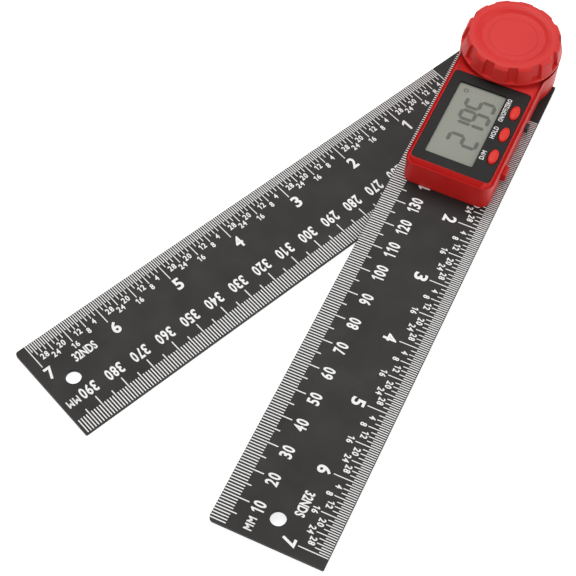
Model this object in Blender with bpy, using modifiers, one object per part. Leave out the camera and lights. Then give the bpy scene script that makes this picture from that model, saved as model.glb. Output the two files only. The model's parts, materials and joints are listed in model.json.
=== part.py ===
"""Angle finder with arms: two printed rulers on a locking pivot, with a display head on the upper one.

The origin is on the pivot axis at the underside of the lower ruler. The upper ruler lies along -Y,
and the lower ruler is opened from it by ARM_ANGLE. Every place follows from the named sizes.
"""

import math

import bmesh
import bpy
from mathutils import Matrix, Vector

MM = 0.001

# Fits that all the pieces share
SEAT_GAP = 0.1 * MM
RUN_GAP = 0.2 * MM
OVERRUN = 1.0 * MM
WELD = 0.001 * MM

# Steps round a full circle
FINE_STEPS = 60
ROUND_STEPS = 40
SMALL_STEPS = 16
CORNER_STEPS = 4

# Rulers
ARM_ANGLE = math.radians(24.05)
RULER_LENGTH = 200.0 * MM
RULER_WIDTH = 37.1 * MM
RULER_THICKNESS = 1.5 * MM
RULER_SPACING = 0.8 * MM
RULER_END_INSET = 0.3 * MM
UPPER_METRIC_CORNER = 1.4 * MM
UPPER_INCH_CORNER = 0.5 * MM
LOWER_METRIC_CORNER = 0.5 * MM
LOWER_INCH_CORNER = 1.0 * MM
HANG_HOLE_RADIUS = 2.5 * MM
HANG_HOLE_SETBACK = 9.0 * MM

# Pivot: a hub screwed to the lower ruler, with its stud through the head
HUB_RADIUS = 9.0 * MM
HUB_SEAT_RADIUS = 5.0 * MM
STUD_RADIUS = 4.0 * MM
STUD_CHAMFER = 0.5 * MM
WASHER_LAND = 5.5 * MM
HUB_SCREW_COUNT = 3
HUB_SCREW_CIRCLE = 6.0 * MM
SCREW_SHANK_RADIUS = 1.0 * MM
SCREW_HEAD_RADIUS = 2.0 * MM
SCREW_HEAD_HEIGHT = 0.9 * MM
SCREW_HEAD_SUNK = 0.05 * MM
SCREW_CROSS_WIDTH = 0.5 * MM
SCREW_CROSS_LENGTH = 2.2 * MM
SCREW_CROSS_DEPTH = 0.5 * MM
HUB_SCREW_BITE = 2.2 * MM

# Encoder: a rotor board on the hub, facing a stator board in the head
ROTOR_THICKNESS = 0.8 * MM
ENCODER_AIR_GAP = 0.5 * MM
STATOR_THICKNESS = 1.0 * MM
STATOR_BORE_ROOM = 0.6 * MM
CLIP_WIDTH = 1.5 * MM
CLIP_THICKNESS = 0.8 * MM
CLIP_OPENING = math.radians(50.0)
STATOR_SCREW_COUNT = 3

# Small screws that hold the boards
BOARD_SCREW_RADIUS = 0.6 * MM
BOARD_HEAD_RADIUS = 1.3 * MM
BOARD_HEAD_HEIGHT = 0.8 * MM
BOARD_BOSS_RADIUS = 1.5 * MM
BOARD_SCREW_BITE = 1.8 * MM

# Housing
HOUSING_WALL = 1.5 * MM
HOUSING_REACH = 60.8 * MM
HOUSING_CORNER = 3.6 * MM
HOUSING_TOP_FILLET = 1.0 * MM
COLLAR_FLARE = 2.1 * MM
COLLAR_BLEND = 6.0 * MM
BASE_THICKNESS = 0.8 * MM
SHELF_THICKNESS = 1.2 * MM
LAND_HEIGHT = 0.4 * MM
LAND_MARGIN = 1.5 * MM
LAND_FILLET = 0.2 * MM
HOUSING_BOSS_RADIUS = 2.0 * MM
HOUSING_BOSS_SINK = 0.3 * MM
HOUSING_SCREW_BITE = 4.8 * MM

# Coin cell and its drawer
CELL_RADIUS = 10.0 * MM
CELL_THICKNESS = 3.2 * MM
CELL_STEP = 1.3 * MM
CELL_STEP_HEIGHT = 0.5 * MM
DRAWER_WALL = 1.2 * MM
DRAWER_FLOOR = 0.6 * MM
DRAWER_SIDE_ROOM = 2.7 * MM
DRAWER_SETBACK = 25.7 * MM
DRAWER_RIM_DROP = 0.8 * MM
DRAWER_FACE_FLANGE = 1.5 * MM
DRAWER_SLOT_WIDTH = 5.4 * MM
LIP_REACH = 1.5 * MM
LIP_LENGTH = 4.2 * MM
LIP_HEIGHT = 3.2 * MM
LIP_RISE = 0.3 * MM
CATCH_REACH = 1.2 * MM
CATCH_LENGTH = 2.5 * MM
CATCH_HEIGHT = 2.2 * MM
CATCH_INSET = 0.5 * MM
LEAF_THICKNESS = 0.2 * MM
LEAF_WIDTH = 4.0 * MM
LEAF_LENGTH = 9.0 * MM
LEAF_FOOT = 3.0 * MM

# Boards, display and buttons
BOARD_THICKNESS = 1.0 * MM
BOARD_EDGE_ROOM = 0.4 * MM
STRIP_HEIGHT = 0.9 * MM
STRIP_WIDTH = 1.6 * MM
DISPLAY_THICKNESS = 2.4 * MM
DISPLAY_MARGIN = 0.8 * MM
BEZEL_THICKNESS = 0.8 * MM
BEZEL_SUNK = 0.2 * MM
BEZEL_SIDE_RIM = 1.45 * MM
BEZEL_FRONT_RIM = 2.4 * MM
BEZEL_BACK_ROOM = 0.8 * MM
BEZEL_CORNER = 1.5 * MM
WINDOW_LEFT_MARGIN = 3.4 * MM
WINDOW_RIGHT_MARGIN = 7.6 * MM
WINDOW_END_MARGIN = 4.1 * MM
WINDOW_CORNER = 0.6 * MM
PANE_THICKNESS = 0.4 * MM
BUTTON_NAMES = ("button_unit", "button_hold", "button_power_zero")
BUTTON_WIDTH = 3.3 * MM
BUTTON_LENGTH = 6.4 * MM
BUTTON_EDGE = 2.65 * MM
BUTTON_PITCH = 10.35 * MM
BUTTON_SHIFT = 0.7 * MM
BUTTON_PROUD = 0.9 * MM
BUTTON_CROWN = 0.7 * MM
BUTTON_FLANGE = 0.5 * MM
BUTTON_FLANGE_THICKNESS = 0.6 * MM
BUTTON_TRAVEL = 0.4 * MM
SWITCH_WIDTH = 3.0 * MM
SWITCH_LENGTH = 3.6 * MM
RIBBON_WIDTH = 8.0 * MM
RIBBON_THICKNESS = 0.2 * MM
RIBBON_FOOT = 2.4 * MM

# Locking knob
KNOB_OVERHANG = 0.1 * MM
KNOB_LIFT_GAP = 0.3 * MM
KNOB_FLANGE_HEIGHT = 1.0 * MM
KNOB_FLANGE_STEP = 0.15 * MM
KNOB_TAPER = 0.75 * MM
KNOB_HEIGHT = 6.95 * MM
KNOB_SHOULDER = 1.8 * MM
KNOB_RIM_WIDTH = 2.2 * MM
DISH_DEPTH = 1.6 * MM
DISH_SLOPE = 1.8 * MM
KNOB_GROOVE_COUNT = 12
KNOB_GROOVE_PHASE = math.radians(-10.5)
KNOB_GROOVE_WIDTH = 3.3 * MM
KNOB_GROOVE_DEPTH = 1.1 * MM
KNOB_WEB = 1.2 * MM
CAP_RADIUS = 8.5 * MM
CAP_THICKNESS = 1.3 * MM
CAP_CHAMFER = 0.25 * MM
INSERT_RADIUS = 6.4 * MM
INSERT_SIDES = 6
BUSH_WALL = 1.5 * MM
BUSH_FLANGE = 1.5 * MM
BUSH_FLANGE_THICKNESS = 0.8 * MM
CLAMP_WASHER_WIDTH = 3.4 * MM
CLAMP_WASHER_THICKNESS = 0.8 * MM

# Heights, worked out from the underside upwards
LOWER_TOP = RULER_THICKNESS
UPPER_BOTTOM = LOWER_TOP + RULER_SPACING
DECK = UPPER_BOTTOM + RULER_THICKNESS
HOUSING_BOTTOM = DECK + SEAT_GAP
BASE_TOP = HOUSING_BOTTOM + BASE_THICKNESS
DRAWER_BOTTOM = BASE_TOP + RUN_GAP
DRAWER_FLOOR_TOP = DRAWER_BOTTOM + DRAWER_FLOOR
CELL_BOTTOM = DRAWER_FLOOR_TOP + SEAT_GAP
CELL_TOP = CELL_BOTTOM + CELL_THICKNESS
LEAF_BOTTOM = CELL_TOP + SEAT_GAP
BOARD_BOTTOM = LEAF_BOTTOM + LEAF_THICKNESS + SEAT_GAP
BOARD_TOP = BOARD_BOTTOM + BOARD_THICKNESS
STRIP_BOTTOM = BOARD_TOP + SEAT_GAP
DISPLAY_BOTTOM = STRIP_BOTTOM + STRIP_HEIGHT + SEAT_GAP
SHELF_TOP = DISPLAY_BOTTOM + DISPLAY_THICKNESS
SHELF_BOTTOM = SHELF_TOP - SHELF_THICKNESS
BEZEL_BOTTOM = SHELF_TOP + SEAT_GAP
BEZEL_TOP = BEZEL_BOTTOM + BEZEL_THICKNESS
HOUSING_TOP = BEZEL_TOP + BEZEL_SUNK
LAND_TOP = HOUSING_TOP + LAND_HEIGHT
ROTOR_BOTTOM = BASE_TOP + RUN_GAP
ROTOR_TOP = ROTOR_BOTTOM + ROTOR_THICKNESS
STATOR_BOTTOM = ROTOR_TOP + ENCODER_AIR_GAP
STATOR_TOP = STATOR_BOTTOM + STATOR_THICKNESS
KNOB_BOTTOM = LAND_TOP + KNOB_LIFT_GAP
KNOB_TOP = KNOB_BOTTOM + KNOB_HEIGHT
DISH_FLOOR = KNOB_TOP - DISH_DEPTH
CAP_BOTTOM = DISH_FLOOR - CAP_THICKNESS
INSERT_BOTTOM = LAND_TOP + RUN_GAP
INSERT_TOP = CAP_BOTTOM - SEAT_GAP - KNOB_WEB - SEAT_GAP
CLAMP_WASHER_TOP = INSERT_BOTTOM - SEAT_GAP
CLAMP_WASHER_BOTTOM = CLAMP_WASHER_TOP - CLAMP_WASHER_THICKNESS
WASHER_POCKET_FLOOR = CLAMP_WASHER_BOTTOM - SEAT_GAP
STUD_TOP = INSERT_TOP - RUN_GAP

# Plan sizes that follow from the cell, the walls and the margins
HOUSING_HALF_WIDTH = CELL_RADIUS + DRAWER_WALL + DRAWER_SIDE_ROOM + HOUSING_WALL
COLLAR_RADIUS = HOUSING_HALF_WIDTH + COLLAR_FLARE
INNER_HALF_WIDTH = HOUSING_HALF_WIDTH - HOUSING_WALL
KNOB_RADIUS = COLLAR_RADIUS + KNOB_OVERHANG
LAND_RADIUS = COLLAR_RADIUS - LAND_MARGIN
RULER_END_RADIUS = COLLAR_RADIUS - RULER_END_INSET
STATOR_RADIUS = COLLAR_RADIUS - HOUSING_WALL - BOARD_EDGE_ROOM
STATOR_SCREW_CIRCLE = STATOR_RADIUS - BOARD_BOSS_RADIUS - BOARD_EDGE_ROOM
ROTOR_RADIUS = STATOR_SCREW_CIRCLE - BOARD_HEAD_RADIUS - RUN_GAP
CLIP_RADIUS = HUB_SEAT_RADIUS + SEAT_GAP + CLIP_WIDTH
STATOR_BORE = CLIP_RADIUS + STATOR_BORE_ROOM
BEZEL_HALF_WIDTH = HOUSING_HALF_WIDTH - BEZEL_SIDE_RIM
BEZEL_BACK = -(LAND_RADIUS + BEZEL_BACK_ROOM)
BEZEL_FRONT = -(HOUSING_REACH - BEZEL_FRONT_RIM)
WINDOW_LEFT = -BEZEL_HALF_WIDTH + WINDOW_LEFT_MARGIN
WINDOW_RIGHT = BEZEL_HALF_WIDTH - WINDOW_RIGHT_MARGIN
WINDOW_BACK = BEZEL_BACK - WINDOW_END_MARGIN
WINDOW_FRONT = BEZEL_FRONT + WINDOW_END_MARGIN
WINDOW_MIDDLE = (WINDOW_BACK + WINDOW_FRONT) / 2
BUTTON_X = BEZEL_HALF_WIDTH - BUTTON_EDGE
DRAWER_Y = -(HOUSING_REACH - DRAWER_SETBACK)
DRAWER_HALF = CELL_RADIUS + RUN_GAP + DRAWER_WALL
DRAWER_FACE_HALF = DRAWER_HALF + DRAWER_FACE_FLANGE
CELL_X = INNER_HALF_WIDTH - DRAWER_HALF
DRAWER_INNER_X = CELL_X - DRAWER_HALF
DRAWER_FACE_TOP = CELL_TOP
BOSS_X = INNER_HALF_WIDTH - HOUSING_BOSS_RADIUS + HOUSING_BOSS_SINK
FRONT_BOSS_Y = -(HOUSING_REACH - HOUSING_WALL - HOUSING_BOSS_RADIUS + HOUSING_BOSS_SINK)
BACK_BOSS_REACH = STATOR_RADIUS + BOARD_EDGE_ROOM + HOUSING_BOSS_RADIUS
BACK_BOSS_Y = -math.sqrt(BACK_BOSS_REACH**2 - BOSS_X**2)
BOARD_BACK = BACK_BOSS_Y - HOUSING_BOSS_RADIUS - BOARD_EDGE_ROOM
BOARD_FRONT = FRONT_BOSS_Y + HOUSING_BOSS_RADIUS + BOARD_EDGE_ROOM
DISPLAY_BACK = WINDOW_BACK + DISPLAY_MARGIN
DISPLAY_FRONT = WINDOW_FRONT - DISPLAY_MARGIN
BOARD_SCREW_BACK_Y = DISPLAY_BACK + BOARD_EDGE_ROOM / 2 + BOARD_BOSS_RADIUS
BOARD_SCREW_FRONT_Y = BOARD_FRONT + BOARD_BOSS_RADIUS
BUSH_RADIUS = STUD_RADIUS + SEAT_GAP + BUSH_WALL
CLAMP_WASHER_RADIUS = STUD_RADIUS + RUN_GAP + CLAMP_WASHER_WIDTH

HOUSING_SCREW_PLACES = tuple((side * BOSS_X, y) for y in (FRONT_BOSS_Y, BACK_BOSS_Y) for side in (-1, 1))
BOARD_SCREW_PLACES = (
    (-BUTTON_X, BOARD_SCREW_BACK_Y),
    (BUTTON_X, BOARD_SCREW_BACK_Y),
    (BUTTON_X, BOARD_SCREW_FRONT_Y),
)
BUTTON_MIDDLE = WINDOW_MIDDLE + BUTTON_SHIFT
BUTTON_PLACES = tuple((BUTTON_X, BUTTON_MIDDLE + step * BUTTON_PITCH) for step in (-1, 0, 1))


def circle_places(radius, count, start=0.0):
    """Points spread evenly on a circle about the pivot."""
    angles = [start + 2 * math.pi * index / count for index in range(count)]
    return [(radius * math.cos(angle), radius * math.sin(angle)) for angle in angles]


HUB_SCREW_PLACES = circle_places(HUB_SCREW_CIRCLE, HUB_SCREW_COUNT, math.pi / 2)
STATOR_SCREW_PLACES = circle_places(STATOR_SCREW_CIRCLE, STATOR_SCREW_COUNT, math.pi / 2)


def clear_scene():
    for obj in list(bpy.data.objects):
        bpy.data.objects.remove(obj, do_unlink=True)


def new_collection(name):
    collection = bpy.data.collections.new(name)
    bpy.context.scene.collection.children.link(collection)
    return collection


clear_scene()
PART = new_collection("angle_finder")
CUTTERS = new_collection("angle_finder_cutters")


def finish(name, colour, roughness, metallic=0.0, alpha=1.0):
    """A plain Principled material."""
    material = bpy.data.materials.new(name)
    material.use_nodes = True
    shader = material.node_tree.nodes["Principled BSDF"]
    shader.inputs["Base Color"].default_value = (*colour, 1.0)
    shader.inputs["Roughness"].default_value = roughness
    shader.inputs["Metallic"].default_value = metallic
    shader.inputs["Alpha"].default_value = alpha
    material.diffuse_color = (*colour, alpha)
    material.roughness = roughness
    material.metallic = metallic
    return material


RULER_BLACK = finish("ruler_black", (0.035, 0.033, 0.031), 0.5)
HOUSING_RED = finish("housing_red", (0.66, 0.045, 0.035), 0.38)
KNOB_RED = finish("knob_red", (0.72, 0.055, 0.045), 0.36)
BUTTON_RED = finish("button_red", (0.78, 0.06, 0.035), 0.45)
BEZEL_BLACK = finish("bezel_black", (0.03, 0.028, 0.027), 0.3)
WINDOW_CLEAR = finish("window_clear", (0.8, 0.82, 0.8), 0.08, alpha=0.35)
DISPLAY_GREY = finish("display_grey", (0.3, 0.32, 0.27), 0.35)
BOARD_GREEN = finish("board_green", (0.02, 0.16, 0.06), 0.45)
BASE_BLACK = finish("base_black", (0.05, 0.05, 0.05), 0.55)
STRIP_RUBBER = finish("strip_rubber", (0.06, 0.06, 0.07), 0.7)
RIBBON_AMBER = finish("ribbon_amber", (0.55, 0.24, 0.04), 0.4)
WASHER_NYLON = finish("washer_nylon", (0.75, 0.74, 0.7), 0.5)
BRASS = finish("brass", (0.72, 0.5, 0.2), 0.3, metallic=1.0)
STEEL = finish("steel", (0.6, 0.6, 0.6), 0.3, metallic=1.0)
CELL_STEEL = finish("cell_steel", (0.68, 0.68, 0.68), 0.22, metallic=1.0)


def new_empty(name, location=(0, 0, 0), turn=0.0, parent=None):
    """A joint's frame, which the pieces of one moving body hang on."""
    empty = bpy.data.objects.new(name, None)
    PART.objects.link(empty)
    empty.location = location
    empty.rotation_euler.z = turn
    empty.parent = parent
    return empty


LOWER_ARM = new_empty("lower_arm_frame", turn=-ARM_ANGLE)
UPPER_ARM = new_empty("upper_arm_frame")
KNOB_AXIS = new_empty("knob_frame", parent=UPPER_ARM)
DRAWER_SLIDE = new_empty("drawer_frame", (CELL_X, DRAWER_Y, 0), parent=UPPER_ARM)


def new_piece(name, mesh, material, parent, location=(0, 0, 0)):
    """A sub-part of the object, placed in its body's frame."""
    piece = bpy.data.objects.new(name, mesh)
    mesh.materials.append(material)
    mesh.shade_smooth()
    mesh.set_sharp_from_angle(angle=math.radians(35))
    PART.objects.link(piece)
    piece.parent = parent
    piece.location = location
    return piece


def new_cutter(name, mesh, parent=None, location=(0, 0, 0)):
    """A hidden solid that a Boolean takes away or adds."""
    cutter = bpy.data.objects.new(name, mesh)
    CUTTERS.objects.link(cutter)
    cutter.parent = parent
    cutter.location = location
    cutter.hide_render = True
    cutter.display_type = "WIRE"
    return cutter


def combine(piece, other, operation="DIFFERENCE"):
    modifier = piece.modifiers.new(f"{operation.lower()}_{other.name}", "BOOLEAN")
    modifier.operation = operation
    modifier.object = other
    return modifier


def mesh_of(bm, name):
    """Writes a bmesh out as a mesh with its faces pointing outwards."""
    bmesh.ops.recalc_face_normals(bm, faces=bm.faces)
    mesh = bpy.data.meshes.new(name)
    bm.to_mesh(mesh)
    bm.free()
    return mesh


def add_box(bm, low, high):
    made = bmesh.ops.create_cube(bm, size=1.0)["verts"]
    low, high = Vector(low), Vector(high)
    place = Matrix.Translation((low + high) / 2) @ Matrix.Diagonal((*(high - low), 1.0))
    bmesh.ops.transform(bm, matrix=place, verts=made)
    return made


def box_mesh(name, low, high):
    bm = bmesh.new()
    add_box(bm, low, high)
    return mesh_of(bm, name)


def add_cylinder(bm, radius, low, high, place=(0, 0), steps=SMALL_STEPS):
    made = bmesh.ops.create_cone(
        bm, cap_ends=True, segments=steps, radius1=radius, radius2=radius, depth=high - low
    )["verts"]
    bmesh.ops.translate(bm, vec=(*place, (low + high) / 2), verts=made)
    return made


def cylinders_mesh(name, radius, low, high, places, steps=SMALL_STEPS):
    bm = bmesh.new()
    for place in places:
        add_cylinder(bm, radius, low, high, place, steps)
    return mesh_of(bm, name)


def turned_mesh(name, profile, steps=ROUND_STEPS, closed=False):
    """Turns a profile of (radius, height) points, given down its outer side, about the Z axis."""
    guide_mesh = bpy.data.meshes.new(f"{name}_profile")
    count = len(profile)
    edges = [(index, (index + 1) % count) for index in range(count if closed else count - 1)]
    guide_mesh.from_pydata([(radius, 0, height) for radius, height in profile], edges, [])
    guide = new_cutter(f"{name}_guide", guide_mesh)
    screw = guide.modifiers.new("turn", "SCREW")
    screw.angle = 2 * math.pi
    screw.steps = steps
    screw.render_steps = steps
    screw.use_merge_vertices = True
    screw.merge_threshold = WELD
    return baked(guide, name)


def baked(guide, name):
    """The evaluated mesh of a guide object, welded, after which the guide is removed."""
    bpy.context.view_layer.update()
    graph = bpy.context.evaluated_depsgraph_get()
    mesh = bpy.data.meshes.new_from_object(guide.evaluated_get(graph))
    mesh.transform(guide.matrix_world)
    bpy.data.objects.remove(guide)
    bm = bmesh.new()
    bm.from_mesh(mesh)
    bpy.data.meshes.remove(mesh)
    bmesh.ops.remove_doubles(bm, verts=bm.verts, dist=WELD)
    return mesh_of(bm, name)


def outline_mesh(name, outlines, low, high):
    """A plate between two heights. The first outline is its edge, and the others are holes."""
    curve = bpy.data.curves.new(f"{name}_outline", "CURVE")
    curve.dimensions = "2D"
    curve.fill_mode = "BOTH"
    curve.extrude = (high - low) / 2
    for points in outlines:
        spline = curve.splines.new("POLY")
        spline.points.add(len(points) - 1)
        for target, (x, y) in zip(spline.points, points):
            target.co = (x, y, 0, 1)
        spline.use_cyclic_u = True
    guide = new_cutter(f"{name}_guide", curve, location=(0, 0, (low + high) / 2))
    return baked(guide, name)


def round_top(mesh, fillet, steps):
    """Rounds the top edge of a plate."""
    bm = bmesh.new()
    bm.from_mesh(mesh)
    bmesh.ops.dissolve_limit(bm, angle_limit=math.radians(1), verts=bm.verts, edges=bm.edges)
    top = max(vert.co.z for vert in bm.verts)
    rim = [
        edge
        for edge in bm.edges
        if all(vert.co.z > top - WELD for vert in edge.verts)
        and any(abs(face.normal.z) < 0.5 for face in edge.link_faces)
    ]
    bmesh.ops.bevel(
        bm, geom=rim, offset=fillet, segments=steps, profile=0.5, affect="EDGES", material=-1
    )
    bmesh.ops.triangulate(bm, faces=bm.faces)
    bm.to_mesh(mesh)
    bm.free()
    return mesh


def arc(centre, radius, start, end, steps):
    """Points along an arc, its two ends among them."""
    angles = [start + (end - start) * index / steps for index in range(steps + 1)]
    return [(centre[0] + radius * math.cos(a), centre[1] + radius * math.sin(a)) for a in angles]


def circle(centre, radius, steps=SMALL_STEPS):
    return arc(centre, radius, 0, 2 * math.pi * (steps - 1) / steps, steps - 1)


def ellipse(width, length, steps=SMALL_STEPS):
    return [(x * width / 2, y * length / 2) for x, y in circle((0, 0), 1.0, steps)]


def rounded_rectangle(left, right, front, back, corner):
    quarter = math.pi / 2
    centres = (
        (right - corner, back - corner),
        (left + corner, back - corner),
        (left + corner, front + corner),
        (right - corner, front + corner),
    )
    points = []
    for index, centre in enumerate(centres):
        points += arc(centre, corner, index * quarter, (index + 1) * quarter, CORNER_STEPS)
    return points


def housing_outline(inset):
    """The head seen from above: a box that swells into a round collar about the pivot."""
    half = HOUSING_HALF_WIDTH - inset
    collar = COLLAR_RADIUS - inset
    reach = HOUSING_REACH - inset
    corner = HOUSING_CORNER - min(inset, HOUSING_CORNER / 2)
    blend = COLLAR_BLEND + inset
    blend_y = -math.sqrt((collar + blend) ** 2 - (half + blend) ** 2)
    meet = math.atan2(blend_y, half + blend)
    points = arc((half - corner, corner - reach), corner, -math.pi / 2, 0, CORNER_STEPS)
    points += arc((half + blend, blend_y), blend, math.pi, math.pi + meet, CORNER_STEPS)
    turn = math.pi - 2 * meet
    points += arc((0, 0), collar, meet, meet + turn, FINE_STEPS // 2)[1:-1]
    mirrored = [(-x, y) for x, y in points[: 2 * (CORNER_STEPS + 1)]]
    return points + mirrored[::-1]


def ruler_outline(left_corner, right_corner):
    """A ruler along -Y. Its shoulders are level with the pivot, and its round end fits below the collar.

    A round end wider than the ruler meets its edges past the pivot instead.
    """
    half = RULER_WIDTH / 2
    quarter = math.pi / 2
    meet = math.acos(min(half / RULER_END_RADIUS, 1))
    round_end = arc((0, 0), RULER_END_RADIUS, meet, math.pi - meet, ROUND_STEPS // 2)
    points = [(half, 0), *round_end, (-half, 0)]
    left_centre = (-half + left_corner, -RULER_LENGTH + left_corner)
    right_centre = (half - right_corner, -RULER_LENGTH + right_corner)
    points += arc(left_centre, left_corner, 2 * quarter, 3 * quarter, CORNER_STEPS)
    points += arc(right_centre, right_corner, 3 * quarter, 4 * quarter, CORNER_STEPS)
    return points


def hang_hole():
    return circle((0, -RULER_LENGTH + HANG_HOLE_SETBACK), HANG_HOLE_RADIUS, ROUND_STEPS // 2)


def countersunk_profile(low, shank_top, grow, below):
    """A flat-headed screw's profile from its tip down. The head is drawn out by below for a cutter."""
    shank = SCREW_SHANK_RADIUS + grow
    head = SCREW_HEAD_RADIUS + grow
    profile = [(0, shank_top), (shank, shank_top), (shank, low + SCREW_HEAD_HEIGHT), (head, low)]
    if below:
        profile.append((head, low - below))
    return [*profile, (0, low - below)]


def countersinks(name, places, low, high, parent):
    """The holes of several flat-headed screws, through a plate whose underside is at low."""
    profile = countersunk_profile(low, high, SEAT_GAP, OVERRUN)
    bm = bmesh.new()
    for x, y in places:
        mesh = turned_mesh(name, profile, SMALL_STEPS)
        mesh.transform(Matrix.Translation((x, y, 0)))
        bm.from_mesh(mesh)
        bpy.data.meshes.remove(mesh)
    return new_cutter(name, mesh_of(bm, name), parent)


def countersunk_screw(name, place, low, shank_top, parent):
    """A flat-headed screw, head down, with a cross cut in the head."""
    bottom = low + SCREW_HEAD_SUNK
    mesh = turned_mesh(name, countersunk_profile(bottom, shank_top, 0, 0), SMALL_STEPS)
    screw = new_piece(name, mesh, STEEL, parent, (*place, 0))
    half, length = SCREW_CROSS_WIDTH / 2, SCREW_CROSS_LENGTH / 2
    for turn, (x, y) in enumerate(((half, length), (length, half))):
        arm = box_mesh(name, (-x, -y, bottom - OVERRUN), (x, y, bottom + SCREW_CROSS_DEPTH))
        combine(screw, new_cutter(f"{name}_cross_{turn}", arm, parent, (*place, 0)))
    return screw


def pan_screw(name, place, seat, bite):
    """A small screw that hangs by its head under a board, with its shank upwards into a boss."""
    top = seat - SEAT_GAP
    profile = [
        (0, seat + bite),
        (BOARD_SCREW_RADIUS, seat + bite),
        (BOARD_SCREW_RADIUS, top),
        (BOARD_HEAD_RADIUS, top),
        (BOARD_HEAD_RADIUS, top - BOARD_HEAD_HEIGHT),
        (0, top - BOARD_HEAD_HEIGHT),
    ]
    return new_piece(name, turned_mesh(name, profile, SMALL_STEPS), STEEL, UPPER_ARM, (*place, 0))


def make_lower_ruler():
    """The lower ruler's inch edge is its outer one, at -X, and its metric edge faces the upper ruler."""
    outlines = [ruler_outline(LOWER_INCH_CORNER, LOWER_METRIC_CORNER), hang_hole()]
    mesh = outline_mesh("lower_ruler", outlines, 0, LOWER_TOP)
    ruler = new_piece("lower_ruler", mesh, RULER_BLACK, LOWER_ARM)
    top = LOWER_TOP + OVERRUN
    combine(ruler, countersinks("lower_ruler_holes", HUB_SCREW_PLACES, 0, top, LOWER_ARM))


def make_upper_ruler():
    """The upper ruler's metric edge is at -X, towards the lower ruler, and its inch edge at +X."""
    outlines = [
        ruler_outline(UPPER_METRIC_CORNER, UPPER_INCH_CORNER),
        hang_hole(),
        circle((0, 0), HUB_RADIUS + RUN_GAP, ROUND_STEPS),
    ]
    mesh = outline_mesh("upper_ruler", outlines, UPPER_BOTTOM, DECK)
    ruler = new_piece("upper_ruler", mesh, RULER_BLACK, UPPER_ARM)
    top = DECK + OVERRUN
    holes = countersinks("upper_ruler_holes", HOUSING_SCREW_PLACES, UPPER_BOTTOM, top, UPPER_ARM)
    combine(ruler, holes)


def make_hub():
    """The hub stands on the lower ruler, and its stud runs up through the head into the knob."""
    bottom = LOWER_TOP + SEAT_GAP
    shoulder = ROTOR_BOTTOM - SEAT_GAP
    seat_top = ROTOR_TOP + SEAT_GAP + CLIP_THICKNESS + SEAT_GAP
    profile = [
        (0, STUD_TOP),
        (STUD_RADIUS - STUD_CHAMFER, STUD_TOP),
        (STUD_RADIUS, STUD_TOP - STUD_CHAMFER),
        (STUD_RADIUS, seat_top + HUB_SEAT_RADIUS - STUD_RADIUS),
        (HUB_SEAT_RADIUS, seat_top),
        (HUB_SEAT_RADIUS, shoulder),
        (HUB_RADIUS, shoulder),
        (HUB_RADIUS, bottom),
        (0, bottom),
    ]
    hub = new_piece("pivot_hub", turned_mesh("pivot_hub", profile), BRASS, LOWER_ARM)
    radius = SCREW_SHANK_RADIUS + SEAT_GAP
    top = bottom + HUB_SCREW_BITE
    holes = cylinders_mesh("hub_holes", radius, bottom - OVERRUN, top, HUB_SCREW_PLACES)
    combine(hub, new_cutter("hub_holes", holes, LOWER_ARM))
    for index, place in enumerate(HUB_SCREW_PLACES, 1):
        countersunk_screw(f"hub_screw_{index}", place, 0, top - SEAT_GAP, LOWER_ARM)


def make_arm_washer():
    """A thin slip washer between the rulers, round the hub."""
    low, high = LOWER_TOP + SEAT_GAP, UPPER_BOTTOM - SEAT_GAP
    inner = HUB_RADIUS + RUN_GAP
    outline = [circle((0, 0), radius, ROUND_STEPS) for radius in (inner + WASHER_LAND, inner)]
    new_piece("arm_washer", outline_mesh("arm_washer", outline, low, high), WASHER_NYLON, LOWER_ARM)


def make_encoder():
    bore = HUB_SEAT_RADIUS + SEAT_GAP
    rotor = [circle((0, 0), radius, ROUND_STEPS) for radius in (ROTOR_RADIUS, bore)]
    mesh = outline_mesh("encoder_rotor", rotor, ROTOR_BOTTOM, ROTOR_TOP)
    new_piece("encoder_rotor", mesh, BOARD_GREEN, LOWER_ARM)
    clip_bottom = ROTOR_TOP + SEAT_GAP
    half = CLIP_OPENING / 2
    ring = arc((0, 0), CLIP_RADIUS, half, 2 * math.pi - half, SMALL_STEPS)
    ring += arc((0, 0), bore, 2 * math.pi - half, half, SMALL_STEPS)
    mesh = outline_mesh("rotor_clip", [ring], clip_bottom, clip_bottom + CLIP_THICKNESS)
    new_piece("rotor_clip", mesh, STEEL, LOWER_ARM)
    stator = [circle((0, 0), radius, ROUND_STEPS) for radius in (STATOR_RADIUS, STATOR_BORE)]
    stator += [circle(place, BOARD_SCREW_RADIUS + SEAT_GAP) for place in STATOR_SCREW_PLACES]
    mesh = outline_mesh("encoder_stator", stator, STATOR_BOTTOM, STATOR_TOP)
    new_piece("encoder_stator", mesh, BOARD_GREEN, UPPER_ARM)
    for index, place in enumerate(STATOR_SCREW_PLACES, 1):
        pan_screw(f"stator_screw_{index}", place, STATOR_BOTTOM, STATOR_THICKNESS + BOARD_SCREW_BITE)


def cavity_cutter():
    """The hollow of the head, with its screw bosses left standing."""
    low = HOUSING_BOTTOM - OVERRUN
    mesh = outline_mesh("cavity", [housing_outline(HOUSING_WALL)], low, SHELF_BOTTOM)
    cavity = new_cutter("cavity", mesh, UPPER_ARM)
    high = SHELF_BOTTOM + OVERRUN
    bosses = (
        ("housing_bosses", HOUSING_BOSS_RADIUS, BASE_TOP + SEAT_GAP, HOUSING_SCREW_PLACES),
        ("stator_bosses", BOARD_BOSS_RADIUS, STATOR_TOP + SEAT_GAP, STATOR_SCREW_PLACES),
        ("board_bosses", BOARD_BOSS_RADIUS, BOARD_TOP + SEAT_GAP, BOARD_SCREW_PLACES),
    )
    for name, radius, bottom, places in bosses:
        mesh = cylinders_mesh(name, radius, bottom, high, places)
        combine(cavity, new_cutter(name, mesh, UPPER_ARM))
    return cavity


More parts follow.
